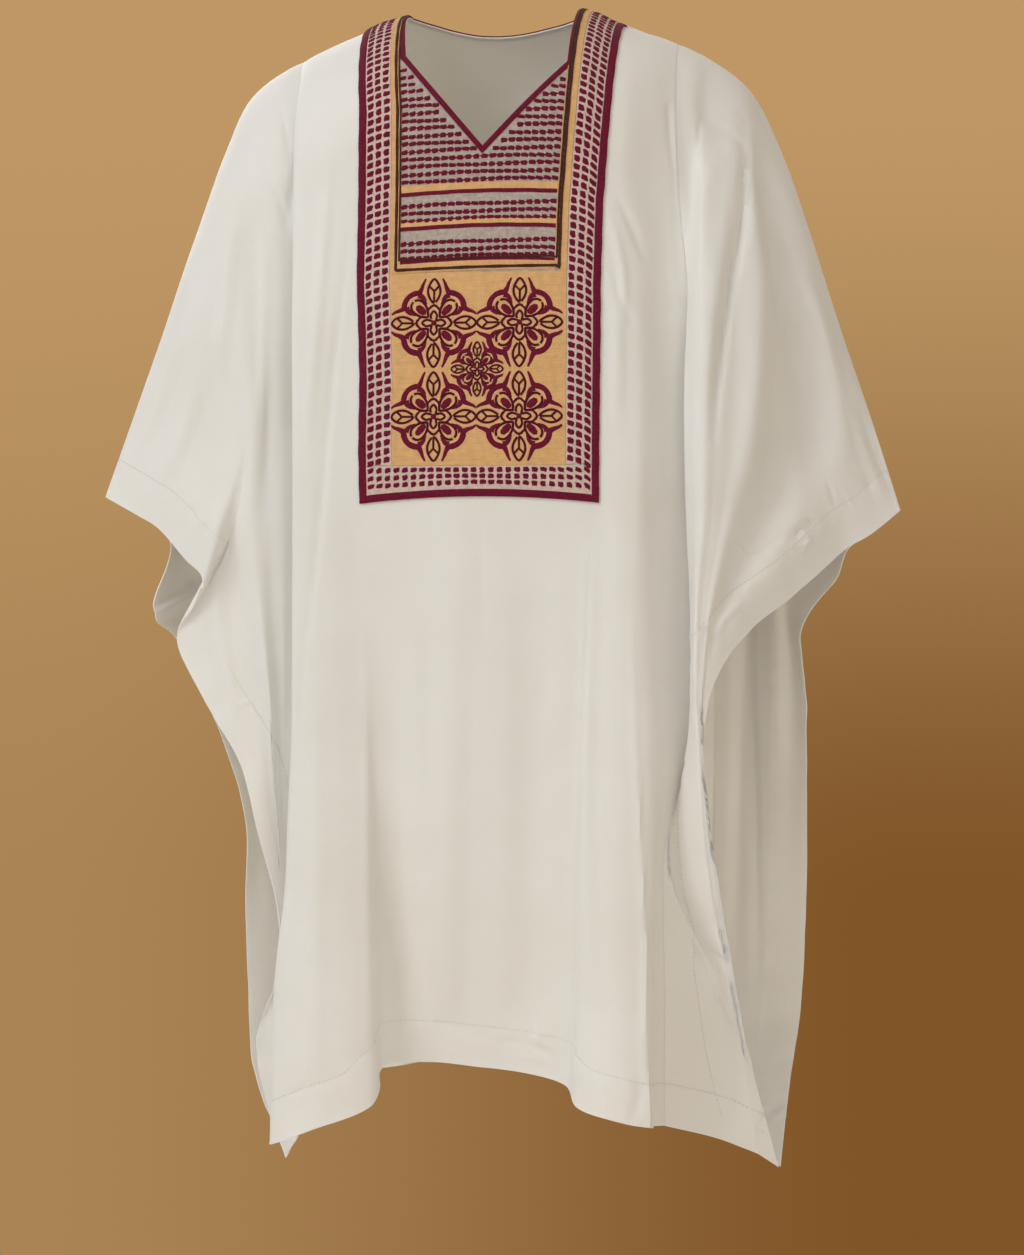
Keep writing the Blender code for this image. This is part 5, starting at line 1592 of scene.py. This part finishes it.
class AGBADA_OT_bindings(bpy.types.Operator):
    """Binds the panel's outline and the neck in burgundy"""

    bl_idname = "agbada.bindings"
    bl_label = "Bindings"

    def execute(self, context):
        burgundy = threads_of("burgundy")
        low = PANEL_LIFT
        high = PANEL_TOP + BINDING_HEIGHT
        edges = self.outline(-BINDING_PROUD), self.outline(BINDING_WIDTH)
        binding = make_band("outer_binding", *edges, 5, low, high, burgundy, BINDING_BULGE)
        fit_piece(binding, "panel_binding", "panel_binding")

        edges = self.neck_line(0.0), self.neck_line(NECK_BINDING_WIDTH)
        binding = make_band("front_neck_binding", *edges, 5, low, high, burgundy, BINDING_BULGE)
        fit_piece(binding, "neck_binding", "neck_binding")

        lay = Lay("back")
        edges = []
        for grow in (0.0, NECK_BINDING_WIDTH):
            arc = np.array(back_neck_arc(grow))
            a = lay.length_at(arc[:, 0], -arc[:, 1], table=-lay.y)
            edges.append(resampled(np.stack([arc[:, 0], a], axis=1), 0.002))
        shares = np.linspace(0, 1, min(len(line) for line in edges))
        edges = [at_shares(line, shares) for line in edges]
        binding = make_band("back_neck_binding", *edges, 5, low, high, burgundy, BACK_BINDING_BULGE, lay,
                            (0, 0.6, 1))
        fit_piece(binding, "back_neck_binding", "neck_binding_back")
        return {"FINISHED"}

    def outline(self, inset):
        """Line down one side of the panel, along the bottom and up the other side."""
        bottom = PANEL_HEIGHTS[-1] + inset
        right = side_lines("right", inset, 0.0, bottom, 280)[0]
        left = side_lines("left", inset, 0.0, bottom, 280)[0]
        x = np.linspace(right[-1, 0], left[-1, 0], 112)[1:-1]
        level = np.stack([x, chest().length_at(x, bottom + bottom_bow(x))], axis=1)
        line = np.concatenate([right, level, left[::-1]])
        rough = 0.00028 if inset else 0.00040
        line[:, 0] += rough * np.array([uneven(n, 3 + inset * 900) for n in range(len(line))])
        return line

    def neck_line(self, grow):
        """Neck's line from one shoulder to the other."""
        points = neck_outline(grow)
        runs = []
        for number, (start, end) in enumerate(zip(points, points[1:])):
            if number in (0, len(points) - 2):
                corner, top = (end, start) if number == 0 else (start, end)
                end_a = float(chest().length_at(corner[0], corner[1]))
                a = np.linspace(0, end_a, 50)
                x = np.full(a.shape, corner[0])
                for _ in range(5):
                    z = chest().read(chest().z, x, a)
                    x = corner[0] + (top[0] - corner[0]) * (z - corner[1]) / (top[1] - corner[1])
                run = np.stack([x, a], axis=1)
                runs.append(run if number == 0 else run[::-1])
            else:
                t = np.linspace(0, 1, 62)[:, None]
                runs.append(laid(np.array(start) * (1 - t) + np.array(end) * t))
        return np.concatenate([runs[0], *(run[1:] for run in runs[1:])])


class AGBADA_OT_braids(bpy.types.Operator):
    """Lays the frame braid, the cross bands and their lines"""

    bl_idname = "agbada.braids"
    bl_label = "Braids"

    def execute(self, context):
        low = PANEL_TOP
        top = low + BRAID_HEIGHT
        tan = ground_of("tan ground")
        right = INNER + BRAID_INSET_RIGHT
        left = INNER + BRAID_INSET_LEFT
        edges = (self.frame_line(right, left, FRAME_BOTTOM),
                 self.frame_line(right + BRAID_WIDTH_RIGHT, left + BRAID_WIDTH_LEFT,
                                 FRAME_BOTTOM + BRAID_BOTTOM_WIDTH))
        braid = make_band("frame_braid", *edges, 4, low, top, tan)
        fit_piece(braid, "frame_braid", "braid_frame")
        mesh = bmesh.new()
        for in_right, in_left, bottom, width in FRAME_LINES:
            path = resampled(self.frame_line(right + in_right, left + in_left, bottom), FRAME_LINE_STEP)
            widths = [width * (1 + 0.16 * uneven(n, width * 1000)) for n in range(len(path))]
            tube(mesh, path, widths, BRAID_HEIGHT, top - SUNK)
        fit_piece(finish_threads("frame_lines", mesh, threads_of("brown")), "frame_braid")

        inset_right = right + BRAID_WIDTH_RIGHT - 0.0008
        inset_left = left + BRAID_WIDTH_LEFT - 0.0008
        burgundy = threads_of("burgundy")
        for name, height, width in CROSS_BANDS:
            edges = self.bowed(height, width, inset_right, inset_left)
            band = make_band(f"{name}_band", *edges, 3, low, top, burgundy, bulge=0.0004)
            fit_piece(band, f"cross_band_{name}", f"cross_band_{name}")
        for name, height, width in TAN_BANDS:
            edges = self.bowed(height, width, inset_right, inset_left)
            band = make_band(f"{name}_tan_band", *edges, 3, low - 0.0004, low + 0.0005, tan)
            fit_piece(band, "panel_ground")
        for side, width in (("right", BRAID_INSET_RIGHT + 0.001), ("left", BRAID_INSET_LEFT + 0.001)):
            edges = side_lines(side, INNER + 0.0004, width, FRAME_BOTTOM)
            edge = make_band(f"{side}_tan_edge", *edges, 2, low - 0.0004, low + 0.0004, tan)
            fit_piece(edge, "panel_ground")
        return {"FINISHED"}

    def bowed(self, height, width, inset_right, inset_left):
        """Upper and lower line of a cross band that rises a little in the middle."""
        lines = []
        for level in (height - width / 2, height + width / 2):
            x0 = float(panel_side(PANEL_RIGHT_X, level)) + inset_right
            x1 = float(panel_side(PANEL_LEFT_X, level)) - inset_left
            share = np.linspace(0, 1, 70)
            x = x0 + (x1 - x0) * share
            shake = np.array([0.00022 * uneven(n, level * 900) for n in range(70)])
            lines.append(np.stack([x, chest().length_at(x, level + self.fall(share) + shake)], axis=1))
        return lines

    def fall(self, share):
        """Change of a band's height across, from the wearer's right to the left."""
        return 0.0010 * np.sin(math.pi * share) - BAND_FALL * (1 - share) ** 2 - 0.0010 * share**4

    def frame_line(self, right, left, bottom):
        """Line down one side of the upper field, across below it and up the other side."""
        down = side_lines("right", right, 0.0, bottom, 170)[0]
        up = side_lines("left", left, 0.0, bottom, 170)[0]
        share = np.linspace(0, 1, 60)[1:-1]
        x = down[-1, 0] + (up[-1, 0] - down[-1, 0]) * share
        height = bottom + BAND_FALL * (1 - (1 - share) ** 2) - 0.001
        level = np.stack([x, chest().length_at(x, height)], axis=1)
        return np.concatenate([down, level, up[::-1]])


def uneven(number, seed):
    """A steady value from -1 to 1 for each number, which stands for a hand's small differences."""
    return math.sin(number * 12.9898 + seed * 78.233) * 0.7 + math.sin(number * 4.1414 + seed * 9.17) * 0.3


class AGBADA_OT_squares(bpy.types.Operator):
    """Embroiders the borders' rows of squares and the upper field's dashes"""

    bl_idname = "agbada.squares"
    bl_label = "Squares and dashes"

    def execute(self, context):
        pitch = panel_props().pitch
        burgundy = threads_of("burgundy")
        for side in ("right", "left"):
            mesh = bmesh.new()
            number = 0
            end = float(chest().length_at(edge_x(side, 0.02, np.array([0.5])), FIELD_BOTTOM)[0])
            for row in range(int(end / pitch)):
                a = end - (row + 0.5) * pitch
                for column in range(3):
                    inset = BINDING_WIDTH + SQUARE_INSET + column * SQUARE_COLUMN
                    x = float(edge_x(side, inset, np.array([a]))[0])
                    number += 1
                    self.square(mesh, x, a, number, 1.0)
            fit_piece(finish_threads(f"{side}_border_squares", mesh, burgundy), f"{side}_border")
        mesh = bmesh.new()
        number = 1000
        for row in range(3):
            height = FIELD_BOTTOM - SQUARE_FIRST_ROW - row * SQUARE_ROW
            x0, x1 = self.reach(height, BINDING_WIDTH + SQUARE_INSET, BINDING_WIDTH + SQUARE_INSET)
            count = round((x1 - x0) / pitch)
            for step in range(count + 1):
                x = x0 + (x1 - x0) * step / count
                number += 1
                level = height + float(bottom_bow(x)) * (row + 0.4) / 3.1
                self.square(mesh, x, float(chest().length_at(x, level)), number, 0.88, 1.12)
        fit_piece(finish_threads("bottom_border_squares", mesh, burgundy), "bottom_border")

        mesh = bmesh.new()
        lines = bmesh.new()
        blocked = neck_outline(NECK_BINDING_WIDTH + 0.0020)
        number = 2000
        for height in [DASH_ROWS_TOP + DASH_PITCH * n for n in range(DASH_ROWS)] + list(DASH_ROWS_LOW):
            x0, x1 = self.reach(height, INNER + BRAID_INSET_RIGHT + BRAID_WIDTH_RIGHT + DASH_INSET,
                                INNER + BRAID_INSET_LEFT + BRAID_WIDTH_LEFT + DASH_INSET)
            count = round((x1 - x0) / DASH_SPACING)
            run = []
            for step in range(count + 1):
                x = x0 + (x1 - x0) * step / count
                number += 1
                if inside(blocked, x, height):
                    self.dash_line(lines, run, number)
                    run = []
                    continue
                level = height - BAND_FALL * (1 - step / count) ** 2 + 0.0004 * uneven(number, 8)
                a = float(chest().length_at(x, level))
                self.square(mesh, x, a, number, 0.90, 1.22)
                run.append((x, a + 0.0006 * uneven(number, 9)))
            self.dash_line(lines, run, number)
        fit_piece(finish_threads("field_dashes", mesh, burgundy), "panel_ground")
        fit_piece(finish_threads("field_lines", lines, burgundy), "panel_ground")
        return {"FINISHED"}

    def reach(self, height, inset_right, inset_left):
        """The x at which a row starts and ends, set in from the panel's sides."""
        return (float(panel_side(PANEL_RIGHT_X, height)) + inset_right,
                float(panel_side(PANEL_LEFT_X, height)) - inset_left)

    def dash_line(self, mesh, run, number):
        """Thin uneven thread that joins the dashes of a row."""
        if len(run) > 2:
            path = rounded(run, 3, closed=False)
            width = [DASH_LINE_WIDTH * (1 + 0.4 * uneven(number + n, 6)) for n in range(len(path))]
            tube(mesh, path, width, DASH_LINE_HEIGHT, PANEL_TOP - SUNK)

    def square(self, mesh, x, a, number, share, wide=1.0):
        """Adds one uneven square or dash of stitches; share is its size in squares."""
        size = panel_props().square * share
        x += 0.00035 * uneven(number, 1)
        a += 0.00035 * uneven(number, 2)
        width = size * wide * (1 + 0.13 * uneven(number, 3))
        length = size / wide * (1 + 0.13 * uneven(number, 4))
        pad(mesh, x, a, width, length, SQUARE_HEIGHT, 0.5, turn=0.12 * uneven(number, 5), ragged=number)


class AGBADA_OT_rosettes(bpy.types.Operator):
    """Embroiders the five rosettes of the tan ground"""

    bl_idname = "agbada.rosettes"
    bl_label = "Rosettes"

    def execute(self, context):
        self.dark = bmesh.new()
        self.deep = bmesh.new()
        self.pale = bmesh.new()
        centres = (((436.0, 324.0), 1.0), ((521.2, 324.0), 1.0), ((436.2, 417.5), 1.0),
                   ((521.2, 417.5), 1.0), ((479.6, 370.5), 0.61))
        for (u, v), size in centres:
            x = (u - CHEST_AXIS_PX) / (CHEST_PX_PER_METRE * math.cos(CAMERA_TURN))
            z = CAMERA_HEIGHT + (LEVEL_PX - v) / CHEST_PX_PER_METRE
            self.rosette(x, z, size)
        for name, mesh, colour in (("rosette_pale_lines", self.pale, "peach"),
                                   ("rosette_surrounds", self.dark, "burgundy"),
                                   ("rosette_lines", self.deep, "deep burgundy")):
            fit_piece(finish_threads(name, mesh, threads_of(colour)), "panel_ground")
        return {"FINISHED"}

    def stroke(self, mesh, points, width, height, quarter=0, closed=False, steps=3):
        """Adds one line of the rosette in hand, turned by so many quarters, in its own unit."""
        line = rounded(self.turned(points, quarter), steps, closed)
        x = self.x + line[:, 0] * self.scale
        z = self.z + line[:, 1] * self.scale
        path = laid(np.stack([x, z], axis=1))
        if np.ndim(width):
            width = np.interp(np.linspace(0, 1, len(path)), np.linspace(0, 1, len(width)), width)
        tube(mesh, path, np.asarray(width) * self.scale * self.bold, height, PANEL_TOP - SUNK, closed)

    def turned(self, points, quarter):
        for _ in range(quarter):
            points = [(y, -x) for x, y in points]
        return points

    def rosette(self, x, z, size):
        """Cross in the middle, four leaves, four petals and their surrounds."""
        self.x, self.z = x, z
        self.scale = panel_props().rosette / ROSETTE_UNIT * size
        self.bold = 1.0 if size == 1.0 else 1.25
        cross = []
        outline = []
        for quarter in range(4):
            cross += self.turned([(-2.4, 3.0), (-3.2, 7.5), (0.0, 11.8), (3.2, 7.5), (2.4, 3.0)], quarter)
            outline += self.turned([(-5.7, 6.4), (-5.9, 12.6), (0.0, 17.8), (5.9, 12.6), (5.7, 6.4)], quarter)
        self.stroke(self.deep, cross, 2.5, BOLD_HEIGHT, closed=True)
        self.stroke(self.deep, outline, 2.7, BOLD_HEIGHT, closed=True)
        inner = [(px * 0.78, py * 0.83) for px, py in outline]
        self.stroke(self.pale, inner, 1.7, PALE_HEIGHT, closed=True)
        for quarter in range(4):
            self.leaf(quarter)
            self.petal(quarter)
            self.surround(quarter)
        width = 5.4 * self.scale
        pad(self.dark, x, float(chest().length_at(x, z)), width, width, BOLD_HEIGHT, 0.5)

    def leaf(self, quarter):
        """Pointed leaf on the axis with a stem, two veins and a pale edge."""
        tip = 44.2 if quarter % 2 == 0 else 42.4
        leaf = [(0.0, 20.0), (4.7, 25.5), (6.3, 32.0), (4.6, 38.5), (0.0, tip), (-4.6, 38.5), (-6.3, 32.0),
                (-4.7, 25.5)]
        self.stroke(self.deep, leaf, 2.5, BOLD_HEIGHT, quarter, closed=True)
        for sign in (-1, 1):
            edge = [(8.2 * sign, 27.0), (9.3 * sign, 32.5), (7.8 * sign, 38.8), (4.6 * sign, tip - 0.5)]
            self.stroke(self.pale, edge, 1.9, PALE_HEIGHT, quarter)
            vein = [(0.0, 32.0), (sign * 2.4, 34.4), (sign * 4.8, 37.0)]
            self.stroke(self.deep, vein, 2.2, BOLD_HEIGHT, quarter, steps=2)
        stem = [(0.0, 20.5), (0.0, 26.0), (0.0, 33.0)]
        self.stroke(self.deep, stem, 2.3, BOLD_HEIGHT, quarter, steps=2)

    def teardrop(self, middle, length, half, grow=0.0):
        """Loop on the diagonal, wider at its outer end."""
        loop = []
        for step in range(14):
            turn = 2 * math.pi * step / 14
            along = middle + (length + grow) * math.cos(turn)
            across = (half + grow) * math.sin(turn) * (1.0 + 0.30 * math.cos(turn))
            loop.append(((along + across) / math.sqrt(2), (along - across) / math.sqrt(2)))
        return loop

    def petal(self, quarter):
        """Rounded loop on the diagonal with a filled core."""
        loop = self.teardrop(19.4, 10.4, 6.7)
        self.stroke(self.deep, loop, 2.6, BOLD_HEIGHT, quarter, closed=True, steps=2)
        outer = self.teardrop(19.8, 10.6, 6.9, grow=2.7)
        self.stroke(self.pale, outer[9:] + outer[:6], 2.2, 0.0006, quarter, steps=2)
        (px, py), = self.turned([(13.0, 13.0)], quarter)
        x = self.x + px * self.scale
        z = self.z + py * self.scale
        pad(self.dark, x, float(chest().length_at(x, z)), 14.0 * self.scale, 7.8 * self.scale, BOLD_HEIGHT,
            0.9, turn=math.atan2(-py, px))

    def surround(self, quarter):
        """Thick scalloped line that follows the petal and tapers beside the leaf tips."""
        tips = (44.2, 42.4) if quarter % 2 == 0 else (42.4, 44.2)
        corner = [(12.8, 34.4), (15.2, 30.4), (19.2, 29.4), (23.4, 27.8), (26.0, 26.0)]
        whole = [(8.6, tips[0] + 0.2), (11.0, 39.4), *corner, *[(y, x) for x, y in reversed(corner[:-1])],
                 (39.4, 11.0), (tips[1] + 0.2, 8.6)]
        widths = (1.8, 3.2, 4.4, 6.2, 6.8, 6.2, 5.4, 6.2, 6.8, 6.2, 4.4, 3.2, 1.8)
        self.stroke(self.dark, whole, widths, 0.0009, quarter, steps=4)
        wedge = [(15.6, 28.0), (12.2, 26.4), (9.4, 23.0), (7.2, 18.6)]
        for points in (wedge, [(y, x) for x, y in wedge]):
            self.stroke(self.dark, points, (6.4, 5.2, 3.8, 1.6), 0.0008, quarter)


class AGBADA_OT_stage(bpy.types.Operator):
    """Sets the floor, the backdrop, the lights and the camera"""

    bl_idname = "agbada.stage"
    bl_label = "Stage"

    def execute(self, context):
        stage = context.scene.agbada_stage
        mesh = bmesh.new()
        bmesh.ops.create_circle(mesh, cap_ends=True, segments=96, radius=stage.floor_radius)
        bmesh.ops.translate(mesh, verts=mesh.verts[:], vec=(0, 0, stage.floor))
        bmesh.ops.recalc_face_normals(mesh, faces=mesh.faces[:])
        material, *_ = tinted_material("pale floor", (0.74, 0.70, 0.64), (0.70, 0.66, 0.60), 6.0, 0.8, {})
        link("floor", mesh_data("floor", mesh), material)

        self.light("key light", (-2.3, -2.4, 2.0), 1.6, stage.key, (1.0, 0.99, 0.97))
        self.light("fill light", (1.5, -3.2, -0.9), 2.0, stage.fill, (1.0, 0.88, 0.72))
        self.light("floor light", (-1.9, -2.2, -1.5), 1.2, stage.fill * 0.25, (1.0, 0.96, 0.90))
        self.light("back light", (-1.6, 3.0, 1.2), 2.2, stage.key * 0.8, (1.0, 0.97, 0.93))
        self.world(stage)
        context.scene.view_settings.view_transform = "Standard"

        camera_data = bpy.data.cameras.new("camera")
        camera_data.sensor_fit = "VERTICAL"
        camera_data.sensor_height = SENSOR
        camera_data.lens = FOCAL_PX * SENSOR / FRAME_HEIGHT
        camera_data.shift_x = (FRAME_WIDTH / 2 - AXIS_PX) / FRAME_HEIGHT
        camera = bpy.data.objects.new("camera", camera_data)
        camera.location = (CAMERA_DISTANCE * math.sin(CAMERA_TURN), -CAMERA_DISTANCE * math.cos(CAMERA_TURN),
                           CAMERA_HEIGHT)
        camera.rotation_euler = (math.pi / 2, 0, CAMERA_TURN)
        bpy.context.scene.collection.objects.link(camera)
        bpy.context.scene.camera = camera
        return {"FINISHED"}

    def world(self, stage):
        """Soft warm light from all round, and a plain backdrop with painted shade that darkens it to one side
        and downwards.
        """
        world = bpy.data.worlds.new("studio")
        world.use_nodes = True
        tree = world.node_tree
        where = add(tree, "ShaderNodeTexCoord").outputs["Generated"]
        parts = add(tree, "ShaderNodeSeparateXYZ", {"Vector": where})
        turned = add(tree, "ShaderNodeVectorMath", {1: (0.65, 0.60, -0.45), 0: where},
                     operation="DOT_PRODUCT")
        away = add(tree, "ShaderNodeMapRange", {"From Min": -1.0, "Value": turned.outputs["Value"]})
        glow = add(tree, "ShaderNodeMix",
                   {"A": (1.0, 0.985, 0.955, 1), "B": (0.80, 0.64, 0.45, 1),
                    "Factor": away.outputs["Result"]}, data_type="RGBA")
        soft = tree.nodes["Background"]
        feed(tree, soft, {"Strength": stage.ambient, "Color": glow.outputs["Result"]})
        # Painted shade on the backdrop that the camera sees: its colour goes over to the shade colour to the
        # right and downwards.
        shares = []
        for axis, low, high, first, last in (("X", -0.26, 0.0, 0.36, 1.0), ("Z", 0.16, -0.085, 0.0, 1.0)):
            share = add(tree, "ShaderNodeMapRange",
                        {"From Min": low, "From Max": high, "To Min": first, "To Max": last,
                         "Value": parts.outputs[axis]}, interpolation_type="SMOOTHSTEP")
            shares.append(share.outputs["Result"])
        across = add(tree, "ShaderNodeMath", dict(enumerate(shares)), operation="MULTIPLY")
        paint = add(tree, "ShaderNodeMix",
                    {"A": (*stage.backdrop, 1), "B": (*stage.backdrop_shade, 1),
                     "Factor": across.outputs["Value"]}, data_type="RGBA")
        seen = add(tree, "ShaderNodeBackground", {"Color": paint.outputs["Result"]})
        rays = add(tree, "ShaderNodeLightPath")
        choose = add(tree, "ShaderNodeMixShader", {"Fac": rays.outputs["Is Camera Ray"],
                                                   1: soft.outputs["Background"],
                                                   2: seen.outputs["Background"]})
        feed(tree, tree.nodes["World Output"], {"Surface": choose.outputs["Shader"]})
        bpy.context.scene.world = world

    def light(self, name, place, size, power, colour, aim=(0, 0, -0.6)):
        """An area light that looks at the robe and isn't seen itself."""
        data = bpy.data.lights.new(name, "AREA")
        data.size = size
        data.energy = power
        data.color = colour
        lamp = bpy.data.objects.new(name, data)
        lamp.location = place
        lamp.visible_camera = False
        lamp.rotation_euler = (Vector(aim) - Vector(place)).to_track_quat("-Z", "Y").to_euler()
        bpy.context.scene.collection.objects.link(lamp)


class AGBADA_PT_sidebar(bpy.types.Panel):
    bl_idname = "AGBADA_PT_sidebar"
    bl_label = "Agbada"
    bl_space_type = "VIEW_3D"
    bl_region_type = "UI"
    bl_category = "Agbada"

    def draw(self, context):
        for group in (context.scene.agbada_cloth, context.scene.agbada_panel, context.scene.agbada_stage):
            box = self.layout.box()
            for name in group.__annotations__:
                box.prop(group, name)
        for operator in OPERATORS:
            self.layout.operator(operator.bl_idname)


OPERATORS = (AGBADA_OT_cloth, AGBADA_OT_panel, AGBADA_OT_bindings, AGBADA_OT_braids, AGBADA_OT_squares,
             AGBADA_OT_rosettes, AGBADA_OT_stage)
GROUPS = (AgbadaCloth, AgbadaPanel, AgbadaStage)


def register():
    for group in GROUPS:
        bpy.utils.register_class(group)
    bpy.types.Scene.agbada_cloth = PointerProperty(type=AgbadaCloth)
    bpy.types.Scene.agbada_panel = PointerProperty(type=AgbadaPanel)
    bpy.types.Scene.agbada_stage = PointerProperty(type=AgbadaStage)
    for operator in OPERATORS:
        bpy.utils.register_class(operator)
    bpy.utils.register_class(AGBADA_PT_sidebar)


def unregister():
    bpy.utils.unregister_class(AGBADA_PT_sidebar)
    for operator in reversed(OPERATORS):
        bpy.utils.unregister_class(operator)
    del bpy.types.Scene.agbada_stage
    del bpy.types.Scene.agbada_panel
    del bpy.types.Scene.agbada_cloth
    for group in reversed(GROUPS):
        bpy.utils.unregister_class(group)


def main():
    register()
    bpy.ops.agbada.cloth()
    bpy.ops.agbada.panel()
    bpy.ops.agbada.bindings()
    bpy.ops.agbada.braids()
    bpy.ops.agbada.squares()
    bpy.ops.agbada.rosettes()
    bpy.ops.agbada.stage()


if __name__ == "__main__":
    main()
